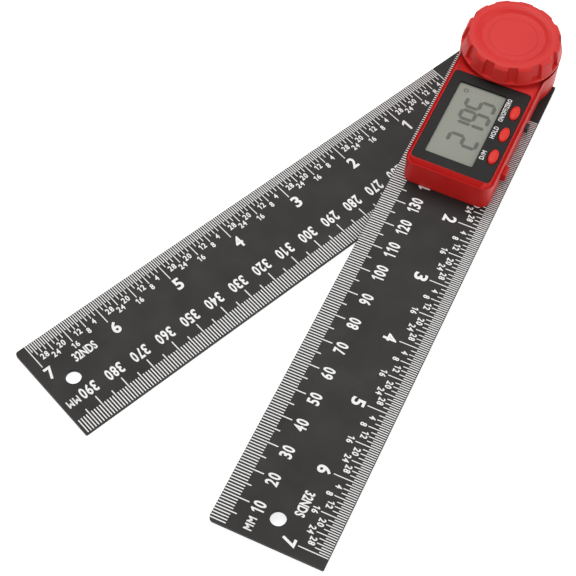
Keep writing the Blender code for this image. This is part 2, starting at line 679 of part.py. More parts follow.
def pilot_holes():
    """The blind holes up into the bosses of the head."""
    bm = bmesh.new()
    rows = (
        (SCREW_SHANK_RADIUS, BASE_TOP, HOUSING_SCREW_BITE, HOUSING_SCREW_PLACES),
        (BOARD_SCREW_RADIUS, STATOR_TOP, BOARD_SCREW_BITE, STATOR_SCREW_PLACES),
        (BOARD_SCREW_RADIUS, BOARD_TOP, BOARD_SCREW_BITE, BOARD_SCREW_PLACES),
    )
    for radius, start, bite, places in rows:
        for place in places:
            add_cylinder(bm, radius + SEAT_GAP, start - SEAT_GAP, start + bite + SEAT_GAP, place)
    return new_cutter("pilot_holes", mesh_of(bm, "pilot_holes"), UPPER_ARM)


def button_holes(name, low, high):
    """The oval holes that the buttons stand in."""
    bm = bmesh.new()
    oval = ellipse(BUTTON_WIDTH + 2 * RUN_GAP, BUTTON_LENGTH + 2 * RUN_GAP, SMALL_STEPS)
    for x, y in BUTTON_PLACES:
        mesh = outline_mesh(name, [oval], low, high)
        mesh.transform(Matrix.Translation((x, y, 0)))
        bm.from_mesh(mesh)
        bpy.data.meshes.remove(mesh)
    return new_cutter(name, mesh_of(bm, name), UPPER_ARM)


def stud_hole_cutter():
    """The bush's hole through the top of the head and the clamp washer's pocket above it."""
    bore = BUSH_RADIUS + SEAT_GAP
    pocket = CLAMP_WASHER_RADIUS + RUN_GAP
    high = LAND_TOP + OVERRUN
    low = SHELF_BOTTOM - OVERRUN
    profile = [
        (0, high),
        (pocket, high),
        (pocket, WASHER_POCKET_FLOOR),
        (bore, WASHER_POCKET_FLOOR),
        (bore, low),
        (0, low),
    ]
    return new_cutter("stud_hole", turned_mesh("stud_hole", profile), UPPER_ARM)


def drawer_opening_cutter():
    """The slot in the right wall that the drawer's face fills."""
    half = DRAWER_FACE_HALF + RUN_GAP
    inner = INNER_HALF_WIDTH - OVERRUN
    outer = HOUSING_HALF_WIDTH + OVERRUN
    low, high = BASE_TOP, DRAWER_FACE_TOP + RUN_GAP
    mesh = box_mesh("drawer_opening", (inner, DRAWER_Y - half, low), (outer, DRAWER_Y + half, high))
    return new_cutter("drawer_opening", mesh, UPPER_ARM)


def make_housing():
    mesh = outline_mesh("housing", [housing_outline(0)], HOUSING_BOTTOM, HOUSING_TOP)
    round_top(mesh, HOUSING_TOP_FILLET, CORNER_STEPS - 1)
    housing = new_piece("housing", mesh, HOUSING_RED, UPPER_ARM)
    land = [
        (0, LAND_TOP),
        (LAND_RADIUS - LAND_FILLET, LAND_TOP),
        (LAND_RADIUS, LAND_TOP - LAND_FILLET),
        (LAND_RADIUS, SHELF_TOP),
        (0, SHELF_TOP),
    ]
    disc = new_cutter("knob_land", turned_mesh("knob_land", land, FINE_STEPS), UPPER_ARM)
    combine(housing, disc, "UNION")
    combine(housing, cavity_cutter())
    recess = rounded_rectangle(
        -BEZEL_HALF_WIDTH - SEAT_GAP,
        BEZEL_HALF_WIDTH + SEAT_GAP,
        BEZEL_FRONT - SEAT_GAP,
        BEZEL_BACK + SEAT_GAP,
        BEZEL_CORNER + SEAT_GAP,
    )
    mesh = outline_mesh("bezel_recess", [recess], SHELF_TOP, HOUSING_TOP + OVERRUN)
    combine(housing, new_cutter("bezel_recess", mesh, UPPER_ARM))
    room = DISPLAY_MARGIN + SEAT_GAP
    mesh = box_mesh(
        "display_opening",
        (WINDOW_LEFT - room, WINDOW_FRONT - room, SHELF_BOTTOM - OVERRUN),
        (WINDOW_RIGHT + room, WINDOW_BACK + room, SHELF_TOP + OVERRUN),
    )
    combine(housing, new_cutter("display_opening", mesh, UPPER_ARM))
    combine(housing, button_holes("housing_button_holes", SHELF_BOTTOM - OVERRUN, HOUSING_TOP))
    combine(housing, stud_hole_cutter())
    combine(housing, drawer_opening_cutter())
    combine(housing, pilot_holes())


def make_base_plate():
    outlines = [housing_outline(HOUSING_WALL + SEAT_GAP)]
    outlines.append(circle((0, 0), HUB_RADIUS + RUN_GAP, ROUND_STEPS))
    outlines += [circle(place, SCREW_SHANK_RADIUS + SEAT_GAP) for place in HOUSING_SCREW_PLACES]
    mesh = outline_mesh("base_plate", outlines, HOUSING_BOTTOM, BASE_TOP)
    new_piece("base_plate", mesh, BASE_BLACK, UPPER_ARM)
    top = BASE_TOP + HOUSING_SCREW_BITE
    for index, place in enumerate(HOUSING_SCREW_PLACES, 1):
        countersunk_screw(f"housing_screw_{index}", place, UPPER_BOTTOM, top, UPPER_ARM)


def make_bezel():
    edge = rounded_rectangle(-BEZEL_HALF_WIDTH, BEZEL_HALF_WIDTH, BEZEL_FRONT, BEZEL_BACK, BEZEL_CORNER)
    window = rounded_rectangle(WINDOW_LEFT, WINDOW_RIGHT, WINDOW_FRONT, WINDOW_BACK, WINDOW_CORNER)
    mesh = outline_mesh("bezel", [edge, window], BEZEL_BOTTOM, BEZEL_TOP)
    bezel = new_piece("bezel", mesh, BEZEL_BLACK, UPPER_ARM)
    combine(bezel, button_holes("bezel_button_holes", SHELF_TOP - OVERRUN, BEZEL_TOP + OVERRUN))


def make_display():
    """The window pane lies in the bezel, on the display, whose glass stands on a rubber strip."""
    pane = rounded_rectangle(
        WINDOW_LEFT + SEAT_GAP,
        WINDOW_RIGHT - SEAT_GAP,
        WINDOW_FRONT + SEAT_GAP,
        WINDOW_BACK - SEAT_GAP,
        WINDOW_CORNER - SEAT_GAP,
    )
    mesh = outline_mesh("display_window", [pane], BEZEL_BOTTOM, BEZEL_BOTTOM + PANE_THICKNESS)
    new_piece("display_window", mesh, WINDOW_CLEAR, UPPER_ARM)
    left, right = WINDOW_LEFT - DISPLAY_MARGIN, WINDOW_RIGHT + DISPLAY_MARGIN
    low, high = (left, DISPLAY_FRONT, DISPLAY_BOTTOM), (right, DISPLAY_BACK, SHELF_TOP)
    new_piece("display_glass", box_mesh("display_glass", low, high), DISPLAY_GREY, UPPER_ARM)
    strip_top = STRIP_BOTTOM + STRIP_HEIGHT
    low = (right - STRIP_WIDTH, WINDOW_FRONT, STRIP_BOTTOM)
    high = (right, WINDOW_BACK, strip_top)
    new_piece("contact_strip", box_mesh("contact_strip", low, high), STRIP_RUBBER, UPPER_ARM)


def make_main_board():
    half = INNER_HALF_WIDTH - BOARD_EDGE_ROOM
    outlines = [rounded_rectangle(-half, half, BOARD_FRONT, BOARD_BACK, WINDOW_CORNER)]
    outlines += [circle(place, BOARD_SCREW_RADIUS + SEAT_GAP) for place in BOARD_SCREW_PLACES]
    mesh = outline_mesh("main_board", outlines, BOARD_BOTTOM, BOARD_TOP)
    new_piece("main_board", mesh, BOARD_GREEN, UPPER_ARM)
    bite = BOARD_THICKNESS + BOARD_SCREW_BITE
    for index, place in enumerate(BOARD_SCREW_PLACES, 1):
        pan_screw(f"board_screw_{index}", place, BOARD_BOTTOM, bite)


def make_link_ribbon():
    """A short flat cable from the stator's upper face to the main board's underside."""
    low = STATOR_TOP + SEAT_GAP
    high = BOARD_BOTTOM - SEAT_GAP
    thick = RIBBON_THICKNESS
    back = -(STATOR_RADIUS - RIBBON_FOOT)
    riser = -(STATOR_RADIUS + BOARD_EDGE_ROOM)
    front = BOARD_BACK - RIBBON_FOOT
    profile = [
        (back, low),
        (back, low + thick),
        (riser, low + thick),
        (riser, high),
        (front, high),
        (front, high - thick),
        (riser - thick, high - thick),
        (riser - thick, low),
    ]
    mesh = outline_mesh("link_ribbon", [profile], -RIBBON_WIDTH / 2, RIBBON_WIDTH / 2)
    mesh.transform(Matrix(((0, 0, 1, 0), (1, 0, 0, 0), (0, 1, 0, 0), (0, 0, 0, 1))))
    new_piece("link_ribbon", mesh, RIBBON_AMBER, UPPER_ARM)


def make_buttons():
    flange_top = SHELF_BOTTOM - SEAT_GAP
    flange_bottom = flange_top - BUTTON_FLANGE_THICKNESS
    top = BEZEL_TOP + BUTTON_PROUD
    grow = 2 * BUTTON_FLANGE
    for index, (name, place) in enumerate(zip(BUTTON_NAMES, BUTTON_PLACES), 1):
        oval = ellipse(BUTTON_WIDTH, BUTTON_LENGTH, SMALL_STEPS)
        middle = flange_top - BUTTON_FLANGE_THICKNESS / 2
        mesh = round_top(outline_mesh(name, [oval], middle, top), BUTTON_CROWN, CORNER_STEPS - 1)
        button = new_piece(name, mesh, BUTTON_RED, UPPER_ARM, (*place, 0))
        wide = ellipse(BUTTON_WIDTH + grow, BUTTON_LENGTH + grow, SMALL_STEPS)
        mesh = outline_mesh(f"{name}_flange", [wide], flange_bottom, flange_top)
        flange = new_cutter(f"{name}_flange", mesh, UPPER_ARM, (*place, 0))
        combine(button, flange, "UNION")
        x, y, low = SWITCH_WIDTH / 2, SWITCH_LENGTH / 2, BOARD_TOP + SEAT_GAP
        high = flange_bottom - BUTTON_TRAVEL - SEAT_GAP
        mesh = box_mesh(f"switch_{index}", (-x, -y, low), (x, y, high))
        new_piece(f"switch_{index}", mesh, BASE_BLACK, UPPER_ARM, (*place, 0))


def make_drawer():
    """The tray with the coin cell slides out to +X. Its frame's origin is on the cell's axis."""
    rim = CELL_TOP - DRAWER_RIM_DROP
    face_inner = DRAWER_HALF
    face_outer = face_inner + HOUSING_WALL
    overlap = HOUSING_WALL / 2
    tray = box_mesh(
        "battery_drawer",
        (-DRAWER_HALF, -DRAWER_HALF, DRAWER_BOTTOM),
        (face_inner + overlap, DRAWER_HALF, rim),
    )
    drawer = new_piece("battery_drawer", tray, HOUSING_RED, DRAWER_SLIDE)
    face = box_mesh(
        "drawer_face",
        (face_inner + SEAT_GAP, -DRAWER_FACE_HALF, DRAWER_BOTTOM),
        (face_outer, DRAWER_FACE_HALF, DRAWER_FACE_TOP),
    )
    combine(drawer, new_cutter("drawer_face", face, DRAWER_SLIDE), "UNION")
    lip_low = DRAWER_BOTTOM + LIP_RISE
    lip = box_mesh(
        "pull_lip",
        (face_inner + overlap, -DRAWER_FACE_HALF, lip_low),
        (face_outer + LIP_REACH, -DRAWER_FACE_HALF + LIP_LENGTH, lip_low + LIP_HEIGHT),
    )
    combine(drawer, new_cutter("pull_lip", lip, DRAWER_SLIDE), "UNION")
    radius, high = CELL_RADIUS + RUN_GAP, CELL_TOP + OVERRUN
    pocket = cylinders_mesh("cell_pocket", radius, DRAWER_FLOOR_TOP, high, [(0, 0)], ROUND_STEPS)
    combine(drawer, new_cutter("cell_pocket", pocket, DRAWER_SLIDE))
    catch_inner = face_inner + overlap
    catch_end = DRAWER_FACE_HALF - CATCH_INSET
    catch_low = (catch_inner, catch_end - CATCH_LENGTH, lip_low)
    catch_high = (face_outer + CATCH_REACH, catch_end, lip_low + CATCH_HEIGHT)
    new_piece("drawer_catch", box_mesh("drawer_catch", catch_low, catch_high), BASE_BLACK, DRAWER_SLIDE)
    room = Vector((SEAT_GAP, SEAT_GAP, SEAT_GAP))
    notch = box_mesh("catch_notch", Vector(catch_low) - room, Vector(catch_high) + room)
    combine(drawer, new_cutter("catch_notch", notch, DRAWER_SLIDE))
    slot = box_mesh(
        "leaf_slot",
        (-DRAWER_HALF - OVERRUN, -DRAWER_SLOT_WIDTH / 2, DRAWER_BOTTOM - OVERRUN),
        (LEAF_LENGTH / 2, DRAWER_SLOT_WIDTH / 2, DRAWER_FLOOR_TOP + SEAT_GAP / 2),
    )
    combine(drawer, new_cutter("leaf_slot", slot, DRAWER_SLIDE))


def make_cell():
    """A coin cell, its stepped side down on the lower leaf."""
    step = CELL_BOTTOM + CELL_STEP_HEIGHT
    profile = [
        (0, CELL_TOP),
        (CELL_RADIUS, CELL_TOP),
        (CELL_RADIUS, step),
        (CELL_RADIUS - CELL_STEP, step),
        (CELL_RADIUS - CELL_STEP, CELL_BOTTOM),
        (0, CELL_BOTTOM),
    ]
    new_piece("coin_cell", turned_mesh("coin_cell", profile), CELL_STEEL, DRAWER_SLIDE)


def make_contacts():
    """The upper leaf lies under the main board, and the lower leaf reaches in through the tray's slot."""
    half = LEAF_WIDTH / 2
    low = (CELL_X - LEAF_LENGTH / 2, DRAWER_Y - half, LEAF_BOTTOM)
    high = (CELL_X + LEAF_LENGTH / 2, DRAWER_Y + half, LEAF_BOTTOM + LEAF_THICKNESS)
    new_piece("upper_contact", box_mesh("upper_contact", low, high), STEEL, UPPER_ARM)
    foot_low = BASE_TOP + SEAT_GAP
    tip_high = DRAWER_FLOOR_TOP - SEAT_GAP
    bend = DRAWER_INNER_X - RUN_GAP - LEAF_THICKNESS
    profile = [
        (bend - LEAF_FOOT, foot_low),
        (bend - LEAF_FOOT, foot_low + LEAF_THICKNESS),
        (bend, foot_low + LEAF_THICKNESS),
        (bend, tip_high),
        (CELL_X, tip_high),
        (CELL_X, tip_high - LEAF_THICKNESS),
        (bend + LEAF_THICKNESS, tip_high - LEAF_THICKNESS),
        (bend + LEAF_THICKNESS, foot_low),
    ]
    mesh = outline_mesh("lower_contact", [profile], -half, half)
    mesh.transform(Matrix(((1, 0, 0, 0), (0, 0, -1, 0), (0, 1, 0, 0), (0, 0, 0, 1))))
    new_piece("lower_contact", mesh, STEEL, UPPER_ARM, (0, DRAWER_Y, 0))


def make_top_bush():
    """The sleeve that the stud turns in, with its flange inside the head."""
    bore = STUD_RADIUS + SEAT_GAP
    flange_top = SHELF_BOTTOM - SEAT_GAP
    flange_bottom = flange_top - BUSH_FLANGE_THICKNESS
    top = WASHER_POCKET_FLOOR
    profile = [
        (bore, top),
        (BUSH_RADIUS, top),
        (BUSH_RADIUS, flange_top),
        (BUSH_RADIUS + BUSH_FLANGE, flange_top),
        (BUSH_RADIUS + BUSH_FLANGE, flange_bottom),
        (bore, flange_bottom),
    ]
    new_piece("top_bush", turned_mesh("top_bush", profile, closed=True), BRASS, UPPER_ARM)


def make_clamp_washer():
    outline = [circle((0, 0), r, ROUND_STEPS) for r in (CLAMP_WASHER_RADIUS, STUD_RADIUS + RUN_GAP)]
    mesh = outline_mesh("clamp_washer", outline, CLAMP_WASHER_BOTTOM, CLAMP_WASHER_TOP)
    new_piece("clamp_washer", mesh, STEEL, UPPER_ARM)


def knob_profile():
    """The knob from the middle of its dish, over the rim and the shoulder, down to the flange."""
    side_top = KNOB_RADIUS - KNOB_FLANGE_STEP - KNOB_TAPER
    shoulder_centre = (side_top - KNOB_SHOULDER, KNOB_TOP - KNOB_SHOULDER)
    crest = shoulder_centre[0]
    dish_edge = crest - KNOB_RIM_WIDTH
    dish_corner = DISH_DEPTH / 4
    flange_top = KNOB_BOTTOM + KNOB_FLANGE_HEIGHT
    profile = [
        (0, DISH_FLOOR),
        (dish_edge - DISH_SLOPE, DISH_FLOOR),
        (dish_edge, KNOB_TOP - dish_corner),
        (dish_edge + dish_corner, KNOB_TOP),
    ]
    profile += arc(shoulder_centre, KNOB_SHOULDER, math.pi / 2, 0, CORNER_STEPS)
    profile += [
        (KNOB_RADIUS - KNOB_FLANGE_STEP, flange_top),
        (KNOB_RADIUS, flange_top),
        (KNOB_RADIUS, KNOB_BOTTOM),
        (0, KNOB_BOTTOM),
    ]
    return profile


def knob_grooves():
    """The finger grooves round the knob's side, which stop at its flange and run out at the top."""
    bm = bmesh.new()
    side = KNOB_RADIUS - KNOB_FLANGE_STEP
    low = KNOB_BOTTOM + KNOB_FLANGE_HEIGHT
    half = KNOB_GROOVE_WIDTH / 2
    for index in range(KNOB_GROOVE_COUNT):
        inner = (side - KNOB_GROOVE_DEPTH, -half, low)
        verts = add_box(bm, inner, (side + OVERRUN, half, KNOB_TOP + OVERRUN))
        lean = KNOB_TAPER / (KNOB_HEIGHT - KNOB_FLANGE_HEIGHT - KNOB_SHOULDER)
        tilt = Matrix.Shear("XY", 4, (-lean, 0))
        place = Matrix.Translation((0, 0, low)) @ tilt @ Matrix.Translation((0, 0, -low))
        turn = Matrix.Rotation(KNOB_GROOVE_PHASE + 2 * math.pi * index / KNOB_GROOVE_COUNT, 4, "Z")
        bmesh.ops.transform(bm, matrix=turn @ place, verts=verts)
    return new_cutter("knob_grooves", mesh_of(bm, "knob_grooves"), KNOB_AXIS)


def make_knob():
    mesh = turned_mesh("locking_knob", knob_profile(), FINE_STEPS)
    knob = new_piece("locking_knob", mesh, KNOB_RED, KNOB_AXIS)
    combine(knob, knob_grooves())
    radius, low, high = INSERT_RADIUS + RUN_GAP, KNOB_BOTTOM - OVERRUN, INSERT_TOP + SEAT_GAP
    socket = cylinders_mesh("insert_socket", radius, low, high, [(0, 0)], INSERT_SIDES)
    combine(knob, new_cutter("insert_socket", socket, KNOB_AXIS))
    radius, low, high = CAP_RADIUS + SEAT_GAP, CAP_BOTTOM - SEAT_GAP, KNOB_TOP + OVERRUN
    recess = cylinders_mesh("cap_recess", radius, low, high, [(0, 0)], ROUND_STEPS)
    combine(knob, new_cutter("cap_recess", recess, KNOB_AXIS))


def make_knob_insert():
    size = (INSERT_RADIUS, INSERT_BOTTOM, INSERT_TOP)
    mesh = cylinders_mesh("knob_insert", *size, [(0, 0)], INSERT_SIDES)
    insert = new_piece("knob_insert", mesh, BRASS, KNOB_AXIS)
    low, high = INSERT_BOTTOM - OVERRUN, INSERT_TOP + OVERRUN
    bore = cylinders_mesh("insert_bore", STUD_RADIUS + SEAT_GAP, low, high, [(0, 0)], ROUND_STEPS)
    combine(insert, new_cutter("insert_bore", bore, KNOB_AXIS))


def make_knob_cap():
    profile = [
        (0, DISH_FLOOR),
        (CAP_RADIUS - CAP_CHAMFER, DISH_FLOOR),
        (CAP_RADIUS, DISH_FLOOR - CAP_CHAMFER),
        (CAP_RADIUS, CAP_BOTTOM),
        (0, CAP_BOTTOM),
    ]
    new_piece("knob_cap", turned_mesh("knob_cap", profile), KNOB_RED, KNOB_AXIS)


def main():
    make_lower_ruler()
    make_hub()
    make_arm_washer()
    make_upper_ruler()
    make_encoder()
    make_housing()
    make_base_plate()
    make_main_board()
    make_link_ribbon()
    make_display()
    make_bezel()
    make_buttons()
    make_drawer()
    make_cell()
    make_contacts()
    make_top_bush()
    make_clamp_washer()
    make_knob()
    make_knob_insert()
    make_knob_cap()


main()
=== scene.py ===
"""A digital angle finder with two arms: the looks of the tool, built around its fixed frame.

Two black composite rulers with white marks turn on one pivot. The upper one carries a red head with a
liquid crystal display and three keys, and a red knob on the pivot locks the angle. Lengths are in
millimetres and angles in radians where nothing else is said, and the pieces are written in metres.
"""

import json
import logging
import math
from dataclasses import dataclass, field
from enum import Enum
from functools import cached_property
from typing import Iterable, Sequence

import bmesh
import bpy
from bmesh.types import BMEdge, BMesh, BMFace, BMVert
from mathutils import Matrix, Vector


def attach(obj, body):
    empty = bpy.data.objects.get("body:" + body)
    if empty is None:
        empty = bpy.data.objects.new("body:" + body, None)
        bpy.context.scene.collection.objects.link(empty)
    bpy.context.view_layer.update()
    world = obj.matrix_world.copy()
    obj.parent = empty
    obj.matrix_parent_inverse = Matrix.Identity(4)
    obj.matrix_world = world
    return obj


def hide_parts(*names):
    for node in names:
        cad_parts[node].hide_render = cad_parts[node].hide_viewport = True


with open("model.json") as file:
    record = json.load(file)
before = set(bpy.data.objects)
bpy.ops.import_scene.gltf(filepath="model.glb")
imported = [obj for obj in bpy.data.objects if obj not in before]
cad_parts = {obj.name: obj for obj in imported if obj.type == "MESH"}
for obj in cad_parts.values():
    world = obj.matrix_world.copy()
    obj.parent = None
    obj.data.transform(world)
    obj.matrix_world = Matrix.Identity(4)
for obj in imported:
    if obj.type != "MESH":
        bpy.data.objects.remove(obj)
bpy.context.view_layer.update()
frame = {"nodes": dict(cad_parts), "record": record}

logging.basicConfig(level=logging.INFO, format="%(message)s")
LOG = logging.getLogger("angle_finder")

MM = 0.001
INCH = 25.4
WELD = 0.002 * MM
ARM_ANGLE = math.radians(24.05)
QUARTER = math.pi / 2
Colour = tuple[float, float, float]
Loop = list[BMEdge]
Point = tuple[float, float]


class Body(Enum):
    """The bodies of the tool that move against each other."""

    LOWER_ARM = "lower_arm"
    UPPER_ARM = "upper_arm"
    KNOB = "knob"
    UNIT = "unit_button"
    HOLD = "hold_button"
    POWER = "power_button"
    DRAWER = "drawer"


class Slot(Enum):
    """The record's material slots, one handed to each new piece as it is placed; the piece's look comes from
    its own finish.
    """

    RULER = "ruler_black"
    HOUSING = "housing_red"
    KNOB = "knob_red"
    BUTTON = "button_red"
    BEZEL = "bezel_black"
    WINDOW = "window_clear"
    DISPLAY = "display_grey"
    INK = "washer_nylon"


class Facing(Enum):
    """Which long edge of a ruler a mark stands on, as the sign of X in the ruler's own frame."""

    LEFT = -1
    RIGHT = 1


def screen(red: int, green: int, blue: int) -> Colour:
    """Turns a colour as a screen shows it into the linear one that a shader takes.

    Args:
        red: Red, from 0 to 255.
        green: Green, from 0 to 255.
        blue: Blue, from 0 to 255.

    Returns:
        The linear colour.
    """

    def linear(value: int) -> float:
        """Undoes the screen's gamma on one channel."""
        share = value / 255
        return share / 12.92 if share <= 0.04045 else ((share + 0.055) / 1.055) ** 2.4

    return linear(red), linear(green), linear(blue)


def smooth(share: float) -> float:
    """Eases a share between 0 and 1 in and out."""
    return share * share * (3 - 2 * share)


def add_object(name: str, data: bpy.types.ID) -> bpy.types.Object:
    """Makes an object of some data and puts it in the scene."""
    made = bpy.data.objects.new(name, data)
    bpy.context.scene.collection.objects.link(made)
    return made


def set_inputs(node: bpy.types.Node, values: dict[str | int, object]) -> None:
    """Sets some of a node's input sockets."""
    for socket, value in values.items():
        node.inputs[socket].default_value = value


def add_node(tree: bpy.types.NodeTree, kind: str, values: dict[str | int, object]) -> bpy.types.Node:
    """Adds a shader node with its values.

    Args:
        tree: The tree that takes it.
        kind: The node's kind.
        values: What its input sockets are set to.

    Returns:
        The node.
    """
    node = tree.nodes.new(f"ShaderNode{kind}")
    set_inputs(node, values)
    return node


def wire(
    tree: bpy.types.NodeTree, *runs: tuple[bpy.types.Node, str | int, bpy.types.Node, str | int]
) -> None:
    """Links nodes, each run from a node's output to another node's input."""
    for source, leaving, target, entering in runs:
        tree.links.new(source.outputs[leaving], target.inputs[entering])


class Effects:
    """Shader node groups that several finishes share, each built once."""

    def _start(
        self, name: str, inputs: Sequence[tuple[str, str, object]], outputs: Sequence[tuple[str, str]]
    ) -> tuple[bpy.types.ShaderNodeTree, bpy.types.Node, bpy.types.Node]:
        """Opens a new group with its sockets.

        Args:
            name: The group's name.
            inputs: Name, kind and default of each input.
            outputs: Name and kind of each output.

        Returns:
            The group, its input node and its output node.
        """
        group = bpy.data.node_groups.new(name, "ShaderNodeTree")
        for label, kind, value in inputs:
            socket = group.interface.new_socket(name=label, in_out="INPUT", socket_type=kind)
            socket.default_value = value
        for label, kind in outputs:
            group.interface.new_socket(name=label, in_out="OUTPUT", socket_type=kind)
        return group, group.nodes.new("NodeGroupInput"), group.nodes.new("NodeGroupOutput")

    @cached_property
    def grain(self) -> bpy.types.ShaderNodeTree:
        """The fine texture of a moulded or ground surface.

        Returns:
            A group with Scale and Blotch inputs, and Height and Mask outputs.
        """
        group, entry, leave = self._start(
            "surface_grain",
            [("Scale", "NodeSocketFloat", 2500.0), ("Blotch", "NodeSocketFloat", 90.0)],
            [("Height", "NodeSocketFloat"), ("Mask", "NodeSocketFloat")],
        )
        place = add_node(group, "TexCoord", {})
        fine = add_node(group, "TexNoise", {"Detail": 3.0})
        blotch = add_node(group, "TexNoise", {"Detail": 5.0, "Roughness": 0.6})
        blend = add_node(group, "Mix", {0: 0.65})
        wire(
            group,
            (place, "Object", fine, "Vector"),
            (place, "Object", blotch, "Vector"),
            (entry, "Scale", fine, "Scale"),
            (entry, "Blotch", blotch, "Scale"),
            (fine, 0, leave, "Height"),
            (fine, 0, blend, 2),
            (blotch, 0, blend, 3),
            (blend, 0, leave, "Mask"),
        )
        return group

    @cached_property
    def drift(self) -> bpy.types.ShaderNodeTree:
        """A slow change between two tones of one colour.

        Returns:
            A group with Light, Deep, Scale and Amount inputs, and a Colour output.
        """
        group, entry, leave = self._start(
            "tone_drift",
            [
                ("Light", "NodeSocketColor", (1.0, 1.0, 1.0, 1.0)),
                ("Deep", "NodeSocketColor", (0.5, 0.5, 0.5, 1.0)),
                ("Scale", "NodeSocketFloat", 60.0),
                ("Amount", "NodeSocketFloat", 0.5),
            ],
            [("Colour", "NodeSocketColor")],
        )
        place = add_node(group, "TexCoord", {})
        cloud = add_node(group, "TexNoise", {"Detail": 4.0})
        spread = add_node(group, "MapRange", {"From Min": 0.3, "From Max": 0.7})
        weigh = add_node(group, "Math", {})
        weigh.operation = "MULTIPLY"
        tint = add_node(group, "Mix", {})
        tint.data_type = "RGBA"
        wire(
            group,
            (place, "Object", cloud, "Vector"),
            (entry, "Scale", cloud, "Scale"),
            (cloud, 0, spread, "Value"),
            (spread, 0, weigh, 0),
            (entry, "Amount", weigh, 1),
            (weigh, 0, tint, "Factor"),
            (entry, "Light", tint, "A"),
            (entry, "Deep", tint, "B"),
            (tint, "Result", leave, "Colour"),
        )
        return group


EFFECTS = Effects()


@dataclass(frozen=True)
class Finish:
    """The look of one material of the tool, as node values.

    Attributes:
        name: The material's name.
        light: Its colour.
        deep: The darker tone that it drifts to.
        roughness: Its middle roughness.
        spread: How far the roughness swings over the surface.
        grain_scale: Grains per metre.
        grain_depth: Depth of the grain in metres.
        metallic: 1 for a metal.
        coat: Weight of a clear coat.
        alpha: Opacity.
        drift_scale: Clouds of tone per metre.
        drift_amount: How strong the clouds are.
        specular: Specular level.
    """

    name: str
    light: Colour
    deep: Colour
    roughness: float
    spread: float = 0.06
    grain_scale: float = 2600.0
    grain_depth: float = 0.00002
    metallic: float = 0.0
    coat: float = 0.0
    alpha: float = 1.0
    drift_scale: float = 60.0
    drift_amount: float = 0.6
    specular: float = 0.5

    def material(self) -> bpy.types.Material:
        """Builds the node material, or returns the one that was built before."""
        found = bpy.data.materials.get(self.name)
        if found:
            return found
        material = bpy.data.materials.new(self.name)
        material.use_nodes = True
        tree = material.node_tree
        shader = tree.nodes["Principled BSDF"]
        values = {"Metallic": self.metallic, "Coat Weight": self.coat, "Coat Roughness": 0.12}
        set_inputs(shader, {**values, "Alpha": self.alpha, "Specular IOR Level": self.specular})
        drift = add_node(tree, "Group", {})
        drift.node_tree = EFFECTS.drift
        tones = {"Light": (*self.light, 1.0), "Deep": (*self.deep, 1.0)}
        set_inputs(drift, {**tones, "Scale": self.drift_scale, "Amount": self.drift_amount})
        grain = add_node(tree, "Group", {})
        grain.node_tree = EFFECTS.grain
        set_inputs(grain, {"Scale": self.grain_scale})
        sweep = add_node(tree, "MapRange", {"From Min": 0.35, "From Max": 0.65})
        set_inputs(sweep, {"To Min": self.roughness - self.spread, "To Max": self.roughness + self.spread})
        wire(
            tree,
            (drift, "Colour", shader, "Base Color"),
            (grain, "Mask", sweep, "Value"),
            (sweep, 0, shader, "Roughness"),
        )
        if self.grain_depth:
            bump = add_node(tree, "Bump", {"Strength": 0.35, "Distance": self.grain_depth})
            wire(tree, (grain, "Height", bump, "Height"), (bump, "Normal", shader, "Normal"))
        return material


RULER_BLACK = Finish(
    "ruler_satin_black", screen(38, 36, 35), screen(33, 31, 30), 0.55, 0.08, grain_depth=0.00003, specular=0.2
)
INK_WHITE = Finish("ruler_ink_white", screen(246, 246, 244), screen(234, 234, 232), 0.6, specular=0.2)
HEAD_RED = Finish("head_red", screen(204, 38, 34), screen(196, 33, 30), 0.4, 0.06, specular=0.25)
KNOB_RED = Finish("knob_red_moulding", screen(208, 46, 42), screen(202, 41, 37), 0.42, 0.06, specular=0.25)
KEY_RED = Finish("key_orange_red", screen(216, 44, 32), screen(210, 39, 28), 0.45, 0.05, specular=0.25)
PANEL_BLACK = Finish("panel_black", screen(23, 21, 20), screen(19, 17, 16), 0.5, 0.06, specular=0.15)
PANE_CLEAR = Finish(
    "pane_clear",
    screen(225, 228, 222),
    screen(218, 222, 216),
    0.4,
    0.02,
    grain_depth=0.0,
    alpha=0.04,
    specular=0.1,
)
CRYSTAL_GREY = Finish(
    "crystal_grey_green",
    screen(143, 145, 134),
    screen(137, 139, 128),
    0.5,
    0.05,
    drift_scale=35.0,
    specular=0.1,
)
SEGMENT_GREY = Finish("segment_grey", screen(88, 90, 81), screen(83, 85, 76), 0.5, 0.04, specular=0.1)
BOARD_GREEN = Finish("board_green_mask", screen(22, 110, 62), screen(16, 86, 48), 0.4)
MOULD_BLACK = Finish("mould_black", screen(44, 43, 42), screen(34, 33, 32), 0.55)
STRIP_BLACK = Finish("strip_black", screen(40, 40, 42), screen(28, 28, 30), 0.75)
FILM_AMBER = Finish("film_amber", screen(190, 112, 40), screen(160, 88, 30), 0.35, coat=0.4)
NYLON_WHITE = Finish("nylon_white", screen(232, 230, 224), screen(214, 212, 206), 0.5)
BRASS_TURNED = Finish("brass_turned", screen(214, 176, 106), screen(190, 148, 82), 0.3, metallic=1.0)
STEEL_PLAIN = Finish("steel_plain", screen(196, 196, 198), screen(168, 168, 170), 0.32, metallic=1.0)
CELL_NICKEL = Finish("cell_nickel", screen(214, 214, 214), screen(192, 192, 192), 0.22, metallic=1.0)

